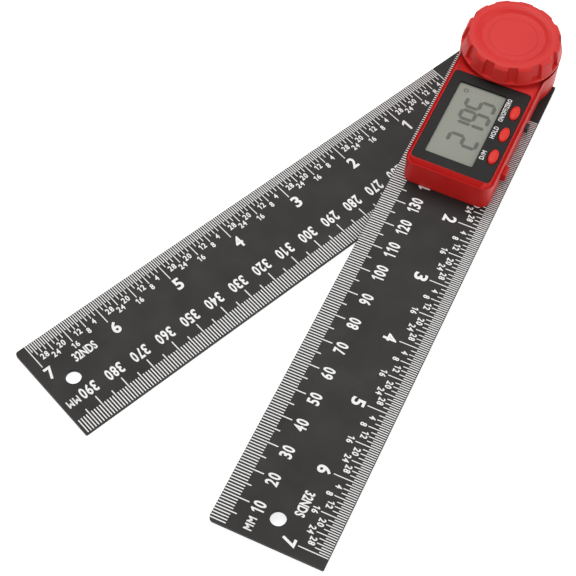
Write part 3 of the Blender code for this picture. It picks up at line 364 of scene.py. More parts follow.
CARRIED_OVER: dict[str, Finish] = {
    "ruler_black": RULER_BLACK,
    "housing_red": HEAD_RED,
    "knob_red": KNOB_RED,
    "button_red": KEY_RED,
    "bezel_black": PANEL_BLACK,
    "window_clear": PANE_CLEAR,
    "display_grey": CRYSTAL_GREY,
    "board_green": BOARD_GREEN,
    "base_black": MOULD_BLACK,
    "strip_rubber": STRIP_BLACK,
    "ribbon_amber": FILM_AMBER,
    "washer_nylon": NYLON_WHITE,
    "brass": BRASS_TURNED,
    "steel": STEEL_PLAIN,
    "cell_steel": CELL_NICKEL,
}


@dataclass(frozen=True)
class Box:
    """A rectangle on the head, seen from above."""

    left: float
    right: float
    front: float
    back: float


class Sketch:
    """A flat closed line in a mesh under construction, drawn by straight runs and spun arcs."""

    def __init__(self, bm: BMesh, x: float, y: float, z: float) -> None:
        """Sets the pen down.

        Args:
            bm: The mesh under construction.
            x: The start's X.
            y: The start's Y.
            z: The height that the line lies at.
        """
        self.bm = bm
        self.z = z * MM
        self._before = set(bm.edges)
        self._start = bm.verts.new((x * MM, y * MM, self.z))
        self._tip = self._start

    def run(self, x: float, y: float) -> "Sketch":
        """Draws a straight run.

        Args:
            x: The end's X.
            y: The end's Y.

        Returns:
            The sketch.
        """
        made = bmesh.ops.extrude_vert_indiv(self.bm, verts=[self._tip])["verts"][0]
        made.co = (x * MM, y * MM, self.z)
        self._tip = made
        return self

    def turn(self, x: float, y: float, angle: float, steps: int) -> "Sketch":
        """Spins an arc about a centre, counter-clockwise for a positive angle.

        Args:
            x: The centre's X.
            y: The centre's Y.
            angle: The arc's angle.
            steps: How many runs the arc has.

        Returns:
            The sketch.
        """
        made = bmesh.ops.spin(
            self.bm,
            geom=[self._tip],
            cent=(x * MM, y * MM, self.z),
            axis=(0.0, 0.0, 1.0),
            angle=angle,
            steps=steps,
            use_duplicate=False,
        )["geom_last"]
        self._tip = next(item for item in made if isinstance(item, BMVert))
        return self

    def close(self) -> Loop:
        """Joins the line's two ends.

        Returns:
            The line's edges.
        """
        if (self._tip.co - self._start.co).length < WELD:
            bmesh.ops.weld_verts(self.bm, targetmap={self._tip: self._start})
        else:
            self.bm.edges.new((self._tip, self._start))
        return [edge for edge in self.bm.edges if edge not in self._before]


class Solid:
    """A mesh under construction, with the steps that the tool's pieces are modelled by."""

    def __init__(self) -> None:
        """Starts empty."""
        self.bm = bmesh.new()

    def circle(self, x: float, y: float, radius: float, z: float, steps: int = 64) -> Loop:
        """Draws a circle, as an oval's special case."""
        return self.oval(x, y, 2 * radius, 2 * radius, z, steps)

    def oval(self, x: float, y: float, width: float, length: float, z: float, steps: int = 48) -> Loop:
        """Draws an oval.

        Args:
            x: The centre's X.
            y: The centre's Y.
            width: Its size along X.
            length: Its size along Y.
            z: Its height.
            steps: How many runs it has.

        Returns:
            Its edges.
        """
        place = Matrix.Translation((x * MM, y * MM, z * MM))
        stretch = Matrix.Diagonal((width * MM / 2, length * MM / 2, 1.0, 1.0))
        verts = bmesh.ops.create_circle(
            self.bm, cap_ends=False, segments=steps, radius=1.0, matrix=place @ stretch
        )["verts"]
        return list({edge for vert in verts for edge in vert.link_edges})

    def rounded(self, box: Box, grow: float, corner: float, z: float, steps: int = 8) -> Loop:
        """Draws a rectangle with round corners.

        Args:
            box: The rectangle.
            grow: How far outside it the line lies.
            corner: The corners' radius.
            z: Its height.
            steps: How many runs a corner has.

        Returns:
            Its edges.
        """
        left, right, front, back = box.left - grow, box.right + grow, box.front - grow, box.back + grow
        pen = Sketch(self.bm, right - corner, front, z)
        pen.turn(right - corner, front + corner, QUARTER, steps).run(right, back - corner)
        pen.turn(right - corner, back - corner, QUARTER, steps).run(left + corner, back)
        pen.turn(left + corner, back - corner, QUARTER, steps).run(left, front + corner)
        pen.turn(left + corner, front + corner, QUARTER, steps)
        return pen.close()

    def fill(self, *loops: Loop) -> list[BMFace]:
        """Fills a flat region whose first line is its edge and whose other lines are holes."""
        edges = [edge for loop in loops for edge in loop]
        made = bmesh.ops.triangle_fill(self.bm, edges=edges, use_beauty=True, use_dissolve=True)["geom"]
        return [item for item in made if isinstance(item, BMFace)]

    def drop(self, loop: Loop, z: float) -> Loop:
        """Draws walls from a line straight up or down.

        Args:
            loop: The line.
            z: The height that the walls reach.

        Returns:
            The walls' far line.
        """
        made = bmesh.ops.extrude_edge_only(self.bm, edges=loop)["geom"]
        for item in made:
            if isinstance(item, BMVert):
                item.co.z = z * MM
        return [
            item
            for item in made
            if isinstance(item, BMEdge) and all(abs(v.co.z - z * MM) < WELD for v in item.verts)
        ]

    def tunnel(self, near: Loop, far: Loop) -> None:
        """Joins two lines with the same number of runs by a wall."""
        bmesh.ops.bridge_loops(self.bm, edges=[*near, *far])

    def raise_faces(self, faces: list[BMFace], height: float) -> list[BMFace]:
        """Extrudes flat faces upwards into a solid.

        Args:
            faces: The faces.
            height: How far up they go.

        Returns:
            The raised faces.
        """
        made = bmesh.ops.extrude_face_region(self.bm, geom=faces)["geom"]
        verts = [item for item in made if isinstance(item, BMVert)]
        bmesh.ops.translate(self.bm, verts=verts, vec=(0.0, 0.0, height * MM))
        return [item for item in made if isinstance(item, BMFace)]

    def round_over(self, face: BMFace, radius: float, rings: int) -> BMFace:
        """Rounds the rim of a flat top by narrowing rings.

        Args:
            face: The top.
            radius: The fillet's radius.
            rings: How many rings it has.

        Returns:
            The top that is left.
        """
        angles = [QUARTER * index / rings for index in range(rings + 1)]
        for start, end in zip(angles, angles[1:]):
            bmesh.ops.inset_region(
                self.bm,
                faces=[face],
                thickness=radius * MM * (math.cos(start) - math.cos(end)),
                depth=radius * MM * (math.sin(end) - math.sin(start)),
                use_even_offset=True,
                use_boundary=True,
            )
        return face

    def step_in(
        self, face: BMFace, x: float, y: float, share: tuple[float, float], z: float
    ) -> BMFace:
        """Draws one more ring inside a flat top, at its own height.

        Args:
            face: The top.
            x: The X that the ring shrinks towards.
            y: The Y that the ring shrinks towards.
            share: What is left of the top's width and length.
            z: The ring's height.

        Returns:
            The top that is left.
        """
        made = bmesh.ops.extrude_face_region(self.bm, geom=[face])["geom"]
        verts = [item for item in made if isinstance(item, BMVert)]
        centre = Matrix.Translation((-x * MM, -y * MM, 0.0))
        bmesh.ops.scale(self.bm, verts=verts, vec=(*share, 1.0), space=centre)
        rise = z * MM - verts[0].co.z
        bmesh.ops.translate(self.bm, verts=verts, vec=(0.0, 0.0, rise))
        return next(item for item in made if isinstance(item, BMFace))

    def rim(self, *heights: float) -> Loop:
        """Finds the level edges between a flat face and a wall at some heights."""
        found = []
        for edge in self.bm.edges:
            level = any(all(abs(v.co.z - z * MM) < WELD for v in edge.verts) for z in heights)
            if level and len(edge.link_faces) == 2 and edge.calc_face_angle(0.0) > 0.8:
                found.append(edge)
        return found

    def bevel(self, edges: Loop, width: float, segments: int = 3) -> None:
        """Rounds some edges.

        Args:
            edges: The edges.
            width: How far the round reaches.
            segments: How many runs it has.
        """
        bmesh.ops.bevel(
            self.bm,
            geom=edges,
            offset=width * MM,
            segments=segments,
            profile=0.5,
            affect="EDGES",
            clamp_overlap=True,
            material=-1,
        )

    def slab(self, loops: Sequence[Loop], low: float, high: float, fine: float, both: bool = False) -> None:
        """Makes a plate of a flat region and rounds its rims.

        Args:
            loops: The region's edge, then its holes, all at the plate's underside.
            low: The underside's height.
            high: The top's height.
            fine: How far the round reaches.
            both: Whether the lower rims are rounded too.
        """
        self.raise_faces(self.fill(*loops), high - low)
        bmesh.ops.recalc_face_normals(self.bm, faces=self.bm.faces)
        self.bevel(self.rim(low, high) if both else self.rim(high), fine, 2)

    def to_mesh(self, name: str) -> bpy.types.Mesh:
        """Closes the mesh under construction and makes a finished one of it."""
        mesh = bpy.data.meshes.new(name)
        self.bm.to_mesh(mesh)
        self.bm.free()
        return mesh

    def place(
        self,
        name: str,
        finish: Finish,
        body: Body,
        slot: Slot,
        replaces: Iterable[str] = (),
        turn: float = 0.0,
        sharp: float = 35.0,
    ) -> bpy.types.Object:
        """Closes the mesh, makes the piece of it and puts it on its body.

        Args:
            name: The piece's name.
            finish: Its look.
            body: The body that it rides on.
            slot: The record's slot of its material; not used.
            replaces: The fixed nodes that it stands for.
            turn: How far it is turned about the pivot.
            sharp: The angle in degrees from which an edge stays sharp.

        Returns:
            The piece.
        """
        bmesh.ops.remove_doubles(self.bm, verts=self.bm.verts, dist=WELD)
        bmesh.ops.recalc_face_normals(self.bm, faces=self.bm.faces)
        if turn:
            about = Matrix.Rotation(turn, 3, "Z")
            bmesh.ops.rotate(self.bm, verts=self.bm.verts, cent=(0, 0, 0), matrix=about)
        mesh = self.to_mesh(name)
        mesh.shade_smooth()
        mesh.set_sharp_from_angle(angle=math.radians(sharp))
        mesh.materials.append(finish.material())
        piece = add_object(name, mesh)
        even = piece.modifiers.new("even_shading", "WEIGHTED_NORMAL")
        even.keep_sharp = True
        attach(piece, body.value)
        nodes = tuple(replaces)
        if nodes:
            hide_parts(*nodes)
        LOG.info("%s: %d faces", name, len(mesh.polygons))
        return piece


@dataclass
class Lettering:
    """Words and numbers, each made once as a thin mesh and set down many times."""

    _cache: dict[tuple[str, float, float], tuple[bpy.types.Mesh, Vector, Vector]] = field(
        default_factory=dict
    )

    def _flagged_one(self) -> bpy.types.Mesh:
        """Makes the figure 1 with its flag, which the plain typeface lacks."""
        solid = Solid()
        corners = ((0.34, 0.0), (0.6, 0.0), (0.6, 1.0), (0.38, 1.0), (0.0, 0.8), (0.0, 0.62), (0.34, 0.76))
        verts = [solid.bm.verts.new((x, y, -0.5)) for x, y in corners]
        face = solid.bm.faces.new(verts)
        solid.raise_faces([face], 1.0 / MM)
        bmesh.ops.recalc_face_normals(solid.bm, faces=solid.bm.faces)
        return solid.to_mesh("figure_one")

    def _typeface(self, words: str, spacing: float, weight: float) -> bpy.types.Mesh:
        """Makes the mesh of some words in the built-in typeface.

        Args:
            words: The words.
            spacing: How far apart the letters stand, 1 for plain.
            weight: How far the strokes are thickened.

        Returns:
            The mesh.
        """
        curve = bpy.data.curves.new("words", "FONT")
        curve.body = words
        curve.size = 1.0
        curve.space_character = spacing
        curve.offset = weight
        curve.extrude = 0.5
        curve.resolution_u = 3
        holder = add_object("words", curve)
        bpy.context.view_layer.update()
        graph = bpy.context.evaluated_depsgraph_get()
        mesh = bpy.data.meshes.new_from_object(holder.evaluated_get(graph))
        bpy.data.objects.remove(holder)
        return mesh

    def glyphs(self, words: str, spacing: float, weight: float) -> tuple[bpy.types.Mesh, Vector, Vector]:
        """Makes or finds the mesh of some words.

        Args:
            words: The words.
            spacing: How far apart the letters stand, 1 for plain.
            weight: How far the strokes are thickened.

        Returns:
            The mesh and its lowest and highest corners.
        """
        key = (words, spacing, weight)
        if key not in self._cache:
            mesh = self._flagged_one() if words == "1" else self._typeface(words, spacing, weight)
            points = [vert.co for vert in mesh.vertices]
            low = Vector([min(point[axis] for point in points) for axis in range(3)])
            high = Vector([max(point[axis] for point in points) for axis in range(3)])
            self._cache[key] = (mesh, low, high)
        return self._cache[key]


LETTERING = Lettering()


@dataclass
class Print:
    """White print on a flat face, with its tops towards one long edge.

    Attributes:
        bm: The mesh that takes the ink.
        z: The height of the face.
        facing: The edge that the tops point at.
        depth: The ink's thickness.
        one_share: The width of a 1, as a share of another figure's.
    """

    bm: BMesh
    z: float
    facing: Facing
    depth: float = 0.03
    one_share: float = 0.66

    def write(
        self,
        words: str,
        place: Point,
        size: Point,
        anchor: float = 0.5,
        spacing: float = 1.0,
        weight: float = 0.028,
    ) -> None:
        """Sets words down.

        Args:
            words: The words.
            place: The X of their middle line, and the Y that they are anchored at.
            size: The height of the letters, and the length of the whole word.
            anchor: The share of the word's length that comes before the anchor.
            spacing: How far apart the letters stand, 1 for plain.
            weight: How far the strokes are thickened, as a share of the text's size.
        """
        mesh, low, high = LETTERING.glyphs(words, spacing, weight)
        span = high - low
        centre = Vector((low.x + anchor * span.x, (low.y + high.y) / 2, 0.0))
        fit = Matrix.Diagonal((size[1] * MM / span.x, size[0] * MM / span.y, self.depth * MM, 1.0))
        turn = Matrix.Rotation(-QUARTER * self.facing.value, 4, "Z")
        where = Matrix.Translation((place[0] * MM, place[1] * MM, self.z * MM))
        before = len(self.bm.verts)
        self.bm.from_mesh(mesh)
        self.bm.verts.ensure_lookup_table()
        fresh = self.bm.verts[before:]
        bmesh.ops.transform(self.bm, matrix=where @ turn @ fit @ Matrix.Translation(-centre), verts=fresh)

    def count(self, number: str, place: Point, size: tuple[float, float, float], anchor: float = 0.5) -> None:
        """Sets a number down figure by figure, at an even pitch.

        Args:
            number: The number.
            place: The X of its middle line, and the Y that it is anchored at.
            size: The height and the width of a figure, and the distance from one to the next.
            anchor: The share of the number's length that comes before the anchor.
        """
        height, width, pitch = size
        total = pitch * (len(number) - 1) + width
        for index, figure in enumerate(number):
            middle = place[1] - self.facing.value * (width / 2 + index * pitch - anchor * total)
            broad = width * self.one_share if figure == "1" else width
            self.write(figure, (place[0], middle), (height, broad))


@dataclass
class Ruler:
    """A black composite ruler, round below the head's collar, with a metric and an inch edge.

    Attributes:
        name: The ruler's name.
        body: The body that it is.
        bottom: Its underside's height.
        metric: Which edge carries millimetres.
        metric_corner: Radius of the free corner at the metric edge.
        inch_corner: Radius of the free corner at the inch edge.
        bore: Radius of the pivot hole, or 0.
        first: The number of the first centimetre mark from the free end.
        step: How the numbers go on towards the pivot.
        turn: How far the ruler is turned about the pivot.
        figure_shift: How far the inch figures stand towards the pivot from their lines.
        number_shift: How far the metric numbers stand towards the pivot from their lines.
        unit_place: The metric unit's distance from the middle line and from the free end.
    """

    name: str
    body: Body
    bottom: float
    metric: Facing
    metric_corner: float
    inch_corner: float
    bore: float
    first: int
    step: int
    turn: float = 0.0
    figure_shift: float = 0.0
    number_shift: float = 0.0
    unit_place: Point = (6.72, 3.95)
    length: float = 200.0
    width: float = 37.1
    end_radius: float = 17.2
    thickness: float = 1.5
    rim_round: float = 0.06
    hole: float = 2.5
    hole_setback: float = 9.0
    edge_gap: float = 0.13
    ink: float = 0.02
    ink_lap: float = 0.01
    metric_line: float = 0.36
    numbers: int = 18
    number_x: float = 6.68
    number_start: float = 2.4
    inches: int = 7
    inch_parts: int = 32
    inch_start: float = 18.57
    inch_line: float = 0.3
    figure_x: float = 5.75
    parts_place: Point = (5.15, 16.4)

    METRIC_REACHES = {1: 5.25, 5: 6.85, 10: 8.55}
    INCH_REACHES = {1: 3.25, 2: 4.95, 4: 5.0, 8: 6.55, 16: 8.05, 32: 9.6}
    LABEL_X = {4: 12.0, 8: 10.3, 16: 8.75}
    NUMBER_SIZE = (4.15, 1.8, 2.17)
    LABEL_SIZE = (2.2, 1.2, 1.45)
    FIGURE_SIZE = (4.55, 2.75, 0.0)
    UNIT_SIZE = (2.7, 4.3)
    PARTS_SIZE = (3.3, 8.5)

    @property
    def top(self) -> float:
        """The height of the printed face."""
        return self.bottom + self.thickness

    def plate(self) -> bpy.types.Object:
        """Builds the ruler's plate, with a fine round along its rims."""
        solid = Solid()
        half = self.width / 2
        corners = {self.metric: self.metric_corner, Facing(-self.metric.value): self.inch_corner}
        left, right = corners[Facing.LEFT], corners[Facing.RIGHT]
        pen = Sketch(solid.bm, half, 0.0, self.bottom).run(self.end_radius, 0.0)
        pen.turn(0.0, 0.0, math.pi, 96).run(-half, 0.0).run(-half, left - self.length)
        pen.turn(left - half, left - self.length, QUARTER, 8).run(half - right, -self.length)
        pen.turn(half - right, right - self.length, QUARTER, 8)
        loops = [pen.close(), solid.circle(0.0, self.hole_setback - self.length, self.hole, self.bottom)]
        if self.bore:
            loops.append(solid.circle(0.0, 0.0, self.bore, self.bottom, 96))
        solid.slab(loops, self.bottom, self.top, self.rim_round, both=True)
        node = f"{self.name}_ruler"
        return solid.place(f"{node}_plate", RULER_BLACK, self.body, Slot.RULER, [node], self.turn)

    def _marks(
        self, solid: Solid, side: Facing, along: float, count: int, reaches: dict[int, float], weight: float
    ) -> int:
        """Prints one scale line, longer at the coarser steps.

        Args:
            solid: The mesh that takes the ink.
            side: The edge that the line starts at.
            along: The line's distance from the pivot.
            count: The line's number on its scale.
            reaches: The lines' lengths, by the step that they belong to.
            weight: The line's thickness.

        Returns:
            The coarsest step that the line belongs to.
        """
        level = max(step for step in reaches if count % step == 0)
        reach = reaches[level]
        middle = side.value * (self.width / 2 - self.edge_gap - reach / 2)
        place = Matrix.Translation((middle * MM, -along * MM, (self.top + self.ink / 2) * MM))
        size = Matrix.Diagonal((reach * MM, weight * MM, (self.ink + self.ink_lap) * MM, 1.0))
        bmesh.ops.create_cube(solid.bm, size=1.0, matrix=place @ size)
        return level

    def _metric_scale(self, solid: Solid) -> None:
        """Prints the millimetre lines and their numbers."""
        side = self.metric
        ink = Print(solid.bm, self.top, side)
        for count in range(1, int(self.length)):
            self._marks(solid, side, self.length - count, count, self.METRIC_REACHES, self.metric_line)
        for index in range(self.numbers):
            number = str(self.first + index * self.step)
            start = 10.0 * (index + 1) - self.length + side.value * self.number_start + self.number_shift
            ink.count(number, (side.value * self.number_x, start), self.NUMBER_SIZE, anchor=0.0)
        x, y = self.unit_place
        ink.write("MM", (side.value * x, y - self.length), self.UNIT_SIZE, spacing=1.15, weight=0.026)

    def _inch_scale(self, solid: Solid) -> None:
        """Prints the lines for inches and their thirty-seconds, and their numbers."""
        side = Facing(-self.metric.value)
        ink = Print(solid.bm, self.top, side)
        for count in range(self.inches * self.inch_parts + 1):
            along = self.inch_start + INCH * count / self.inch_parts
            level = self._marks(solid, side, along, count, self.INCH_REACHES, self.inch_line)
            if level in self.LABEL_X:
                label = str(count % self.inch_parts)
                ink.count(label, (side.value * self.LABEL_X[level], -along), self.LABEL_SIZE)
        for inch in range(1, self.inches + 1):
            y = self.figure_shift - self.inch_start - INCH * inch
            ink.count(str(inch), (side.value * self.figure_x, y), self.FIGURE_SIZE)
        x, y = self.parts_place
        ink.write("32NDS", (side.value * x, y + self.figure_shift - self.length), self.PARTS_SIZE)

    def build(self) -> None:
        """Builds the plate, and prints both scales as one thin layer of ink."""
        self.plate()
        solid = Solid()
        self._metric_scale(solid)
        self._inch_scale(solid)
        solid.place(f"{self.name}_ruler_scales", INK_WHITE, self.body, Slot.INK, turn=self.turn)


@dataclass
class Head:
    """The red head on the upper ruler, with its black panel, display window and drawer slot."""

    half: float = 15.4
    reach: float = 60.8
    corner: float = 3.6
    inner_corner: float = 1.0
    collar: float = 17.5
    blend: float = 6.0
    wall: float = 1.5
    bottom: float = 3.9
    top: float = 14.8
    fillet: float = 1.0
    lip: float = 0.2
    lip_back: float = -16.0
    shelf_top: float = 13.7
    shelf_bottom: float = 12.5
    shelf_room: float = 0.9
    shelf_corner: float = 0.4
    panel: Box = Box(-13.95, 13.95, -58.4, -16.8)
    panel_corner: float = 1.5
    panel_room: float = 0.1
    panel_bottom: float = 13.8
    panel_top: float = 14.6
    panel_round: float = 0.12
    window: Box = Box(-10.55, 6.35, -54.3, -20.9)
    window_corner: float = 0.7
    button_x: float = 11.3
    button_rows: tuple[float, float, float] = (-47.25, -36.9, -26.55)
    button_width: float = 3.3
    button_length: float = 6.4
    button_room: float = 0.4
    label_x: float = 7.85
    label_height: float = 1.65
    land: float = 16.0
    land_top: float = 15.2
    land_round: float = 0.15
    pocket: float = 7.8
    slot_front: float = -48.4
    slot_back: float = -22.4
    slot_low: float = 4.7
    slot_high: float = 9.0

    LABELS = (("ON/OFF/ZERO", -26.75, 10.5), ("HOLD", -37.3, 5.4), ("D/M", -47.9, 3.8))

    def _outline(self, solid: Solid, inset: float, z: float) -> Loop:
        """Draws the head from above: a box that swells into a round collar about the pivot.

        Args:
            solid: The mesh under construction.
            inset: How far inside the outer wall the line lies.
            z: Its height.

        Returns:
            The line's edges.
        """
        half, collar, reach = self.half - inset, self.collar - inset, self.reach - inset
        corner, blend = max(self.corner - inset, self.inner_corner), self.blend + inset
        blend_y = -math.sqrt((collar + blend) ** 2 - (half + blend) ** 2)
        meet = math.atan2(blend_y, half + blend)
        pen = Sketch(solid.bm, half - corner, -reach, z)
        pen.turn(half - corner, corner - reach, QUARTER, 10).run(half, blend_y)
        pen.turn(half + blend, blend_y, meet, 8).turn(0.0, 0.0, math.pi - 2 * meet, 80)
        pen.turn(-half - blend, blend_y, meet, 8).run(-half, corner - reach)
        pen.turn(corner - half, corner - reach, QUARTER, 10)
        return pen.close()

    def _key_holes(self, solid: Solid, z: float) -> list[Loop]:
        """Draws the three key holes at one height."""
        wide, long = self.button_width + self.button_room, self.button_length + self.button_room
        return [solid.oval(self.button_x, y, wide, long, z) for y in self.button_rows]

    def _shelf(self, solid: Solid, z: float) -> list[Loop]:
        """Draws the display opening and the three key holes at one height."""
        opening = solid.rounded(self.window, self.shelf_room, self.shelf_corner, z, 3)
        return [opening, *self._key_holes(solid, z)]

    def _slot_walls(self, solid: Solid) -> list[BMFace]:
        """Finds the faces of the right wall, inside and out."""
        found = []
        for face in solid.bm.faces:
            middle = face.calc_center_median() / MM
            if abs(face.normal.x) > 0.95 and middle.x > self.half - self.wall - 0.3 and middle.y < -10:
                found.append(face)
        return found

    def _cut_drawer_slot(self, solid: Solid) -> None:
        """Opens the right wall where the battery drawer slides out."""
        along, upward = (0.0, 1.0, 0.0), (0.0, 0.0, 1.0)
        cuts = (
            ((0.0, self.slot_front, 0.0), along),
            ((0.0, self.slot_back, 0.0), along),
            ((0.0, 0.0, self.slot_low), upward),
            ((0.0, 0.0, self.slot_high), upward),
        )
        for point, normal in cuts:
            faces = self._slot_walls(solid)
            parts = {part for face in faces for part in (*face.edges, *face.verts)}
            bmesh.ops.bisect_plane(
                solid.bm, geom=[*faces, *parts], plane_co=Vector(point) * MM, plane_no=normal, dist=WELD
            )
        inside = []
        for face in self._slot_walls(solid):
            middle = face.calc_center_median() / MM
            if self.slot_front < middle.y < self.slot_back and self.slot_low < middle.z < self.slot_high:
                inside.append(face)
        border = [e for f in inside for e in f.edges if sum(other in inside for other in e.link_faces) == 1]
        bmesh.ops.delete(solid.bm, geom=inside, context="FACES_ONLY")
        bmesh.ops.bridge_loops(solid.bm, edges=border)

    def shell(self) -> None:
        """Builds the hollow red shell with its sunk panel seat and its openings."""
        solid = Solid()
        base = self._outline(solid, 0.0, self.bottom)
        top = solid.fill(solid.drop(base, self.top - self.fillet))[0]
        top = solid.round_over(top, self.fillet, 6)
        crown = list(top.edges)
        bmesh.ops.delete(solid.bm, geom=[top], context="FACES_ONLY")
        seat = solid.rounded(self.panel, self.panel_room, self.panel_corner + self.panel_room, self.top)
        stud = solid.circle(0.0, 0.0, self.pocket, self.top)
        solid.fill(crown, seat, stud)
        floor = solid.drop(seat, self.shelf_top)
        floor_holes = self._shelf(solid, self.shelf_top)
        solid.fill(floor, *floor_holes)
        inner = self._outline(solid, self.wall, self.bottom)
        ceiling = solid.drop(inner, self.shelf_bottom)
        ceiling_holes = self._shelf(solid, self.shelf_bottom)
        stud_below = solid.circle(0.0, 0.0, self.pocket, self.shelf_bottom)
        solid.fill(ceiling, *ceiling_holes, stud_below)
        for near, far in zip([*floor_holes, stud], [*ceiling_holes, stud_below]):
            solid.tunnel(near, far)
        solid.tunnel(base, inner)
        bmesh.ops.recalc_face_normals(solid.bm, faces=solid.bm.faces)
        self._cut_drawer_slot(solid)
        bmesh.ops.recalc_face_normals(solid.bm, faces=solid.bm.faces)
        lip = [edge for edge in solid.rim(self.top) if all(v.co.y < self.lip_back * MM for v in edge.verts)]
        solid.bevel(lip, self.lip, 2)
        solid.place("head_shell", HEAD_RED, Body.UPPER_ARM, Slot.HOUSING, ["housing"])

    def knob_seat(self) -> None:
        """Builds the low round land that the knob stands over."""
        solid = Solid()
        loops = [solid.circle(0, 0, self.land, self.top, 96), solid.circle(0, 0, self.pocket, self.top)]
        solid.slab(loops, self.top, self.land_top, self.land_round)
        solid.place("knob_seat", HEAD_RED, Body.UPPER_ARM, Slot.HOUSING)

    def plate(self) -> None:
        """Builds the black panel round the window and the keys."""
        solid = Solid()
        z = self.panel_bottom
        edge = solid.rounded(self.panel, 0.0, self.panel_corner, z)
        window = solid.rounded(self.window, 0.0, self.window_corner, z, 6)
        solid.slab([edge, window, *self._key_holes(solid, z)], z, self.panel_top, self.panel_round)
        solid.place("head_panel", PANEL_BLACK, Body.UPPER_ARM, Slot.BEZEL, ["bezel"])

    def labels(self) -> None:
        """Prints the keys' names on the panel."""
        solid = Solid()
        ink = Print(solid.bm, self.panel_top, Facing.LEFT)
        for words, y, width in self.LABELS:
            ink.write(words, (self.label_x, y), (self.label_height, width), spacing=1.12, weight=0.014)
        solid.place("panel_labels", INK_WHITE, Body.UPPER_ARM, Slot.INK)

    def build(self) -> None:
        """Builds the head's red and black pieces."""
        self.shell()
        self.knob_seat()
        self.plate()
        self.labels()


@dataclass
class Display:
    """The liquid crystal display: a grey-green cell with dark segments, below a clear pane."""

    glass: Box = Box(-11.35, 7.15, -55.1, -20.1)
    glass_corner: float = 0.3
    low: float = 11.3
    high: float = 13.7
    pane_top: float = 14.2
    pane_gap: float = 0.1
    pane_corner: float = 0.6
    rim_round: float = 0.15
    digit_low: float = 4.75
    digit_high: float = -5.95
    digit_width: float = 4.6
    inset_x: float = 0.45
    inset_y: float = 0.4
    stroke: float = 1.3
    gap: float = 0.08
    lift: float = 0.01
    ink: float = 0.03
    degree: Point = (-7.4, -23.6)
    degree_sizes: Point = (1.8, 1.0)
    digits: tuple[tuple[str, float], ...] = (("2", -44.65), ("1", -39.1), ("9", -33.6), ("5", -28.05))

    SEGMENTS = {"2": "abged", "1": "bc", "9": "abcdfg", "5": "afgcd"}

    def _segment(self, solid: Solid, start: Vector, end: Vector) -> None:
        """Draws one bar with pointed ends.

        Args:
            solid: The mesh under construction.
            start: The bar's first end.
            end: Its other end.
        """
        run = (end - start).normalized()
        side = Vector((-run.y, run.x)) * self.stroke / 2
        gap = run * self.gap
        point = run * self.stroke / 2
        corners = (
            start + gap,
            start + gap + point + side,
            end - gap - point + side,
            end - gap,
            end - gap - point - side,
            start + gap + point - side,
        )
        verts = [solid.bm.verts.new((c.x * MM, c.y * MM, (self.high + self.lift) * MM)) for c in corners]
        face = solid.bm.faces.new(verts)
        solid.raise_faces([face], self.ink)

    def figures(self) -> None:
        """Builds the number on the display, with its degree sign."""
        solid = Solid()
        middle = (self.digit_low + self.digit_high) / 2
        top, base = self.digit_high + self.inset_x, self.digit_low - self.inset_x
        for digit, y in self.digits:
            near, far = y - self.digit_width / 2 + self.inset_y, y + self.digit_width / 2 - self.inset_y
            ends = {
                "a": ((top, near), (top, far)),
                "b": ((top, far), (middle, far)),
                "c": ((middle, far), (base, far)),
                "d": ((base, near), (base, far)),
                "e": ((middle, near), (base, near)),
                "f": ((top, near), (middle, near)),
                "g": ((middle, near), (middle, far)),
            }
            for segment in self.SEGMENTS[digit]:
                start, end = ends[segment]
                self._segment(solid, Vector(start), Vector(end))
        z = self.high + self.lift
        ring = [solid.oval(*self.degree, size, size, z, 20) for size in self.degree_sizes]
        solid.raise_faces(solid.fill(*ring), self.ink)
        solid.place("display_figures", SEGMENT_GREY, Body.UPPER_ARM, Slot.DISPLAY)

    def cell(self) -> None:
        """Builds the glass cell below the window."""
        solid = Solid()
        edge = solid.rounded(self.glass, 0.0, self.glass_corner, self.low, 3)
        solid.slab([edge], self.low, self.high, self.rim_round, both=True)
        solid.place("display_cell", CRYSTAL_GREY, Body.UPPER_ARM, Slot.DISPLAY, ["display_glass"])

    def pane(self, head: Head) -> None:
        """Builds the clear pane in the panel's window."""
        solid = Solid()
        edge = solid.rounded(head.window, -self.pane_gap, self.pane_corner, head.panel_bottom, 6)
        solid.slab([edge], head.panel_bottom, self.pane_top, self.rim_round)
        solid.place("display_pane", PANE_CLEAR, Body.UPPER_ARM, Slot.WINDOW, ["display_window"])

    def build(self, head: Head) -> None:
        """Builds the cell, the figures and the pane."""
        self.cell()
        self.figures()
        self.pane(head)


@dataclass
class Keys:
    """The three oval keys beside the window."""

    low: float = 11.8
    flange: float = 0.6
    flange_width: float = 0.5
    top: float = 15.5
    crown: float = 0.75
    crown_draw: float = 0.62
    rings: int = 8

    ROWS = (("button_unit", Body.UNIT), ("button_hold", Body.HOLD), ("button_power_zero", Body.POWER))

    def build(self, head: Head) -> None:
        """Builds one domed key for each row of the panel."""
        x, width, length = head.button_x, head.button_width, head.button_length
        wide, long = width + 2 * self.flange_width, length + 2 * self.flange_width
        rise = self.top - self.crown
        for (node, body), y in zip(self.ROWS, head.button_rows):
            solid = Solid()
            foot = solid.oval(x, y, wide, long, self.low, 64)
            face = solid.raise_faces(solid.fill(foot), self.flange)[0]
            face = solid.step_in(face, x, y, (width / wide, length / long), self.low + self.flange)
            face = solid.step_in(face, x, y, (1.0, 1.0), rise)
            before = 1.0
            for index in range(1, self.rings + 1):
                angle = QUARTER * index / self.rings
                left = 1.0 - self.crown_draw * (1.0 - math.cos(angle))
                share = left / before
                face = solid.step_in(face, x, y, (share, share), rise + self.crown * math.sin(angle))
                before = left
            solid.place(f"key_{body.name.lower()}", KEY_RED, body, Slot.BUTTON, [node])


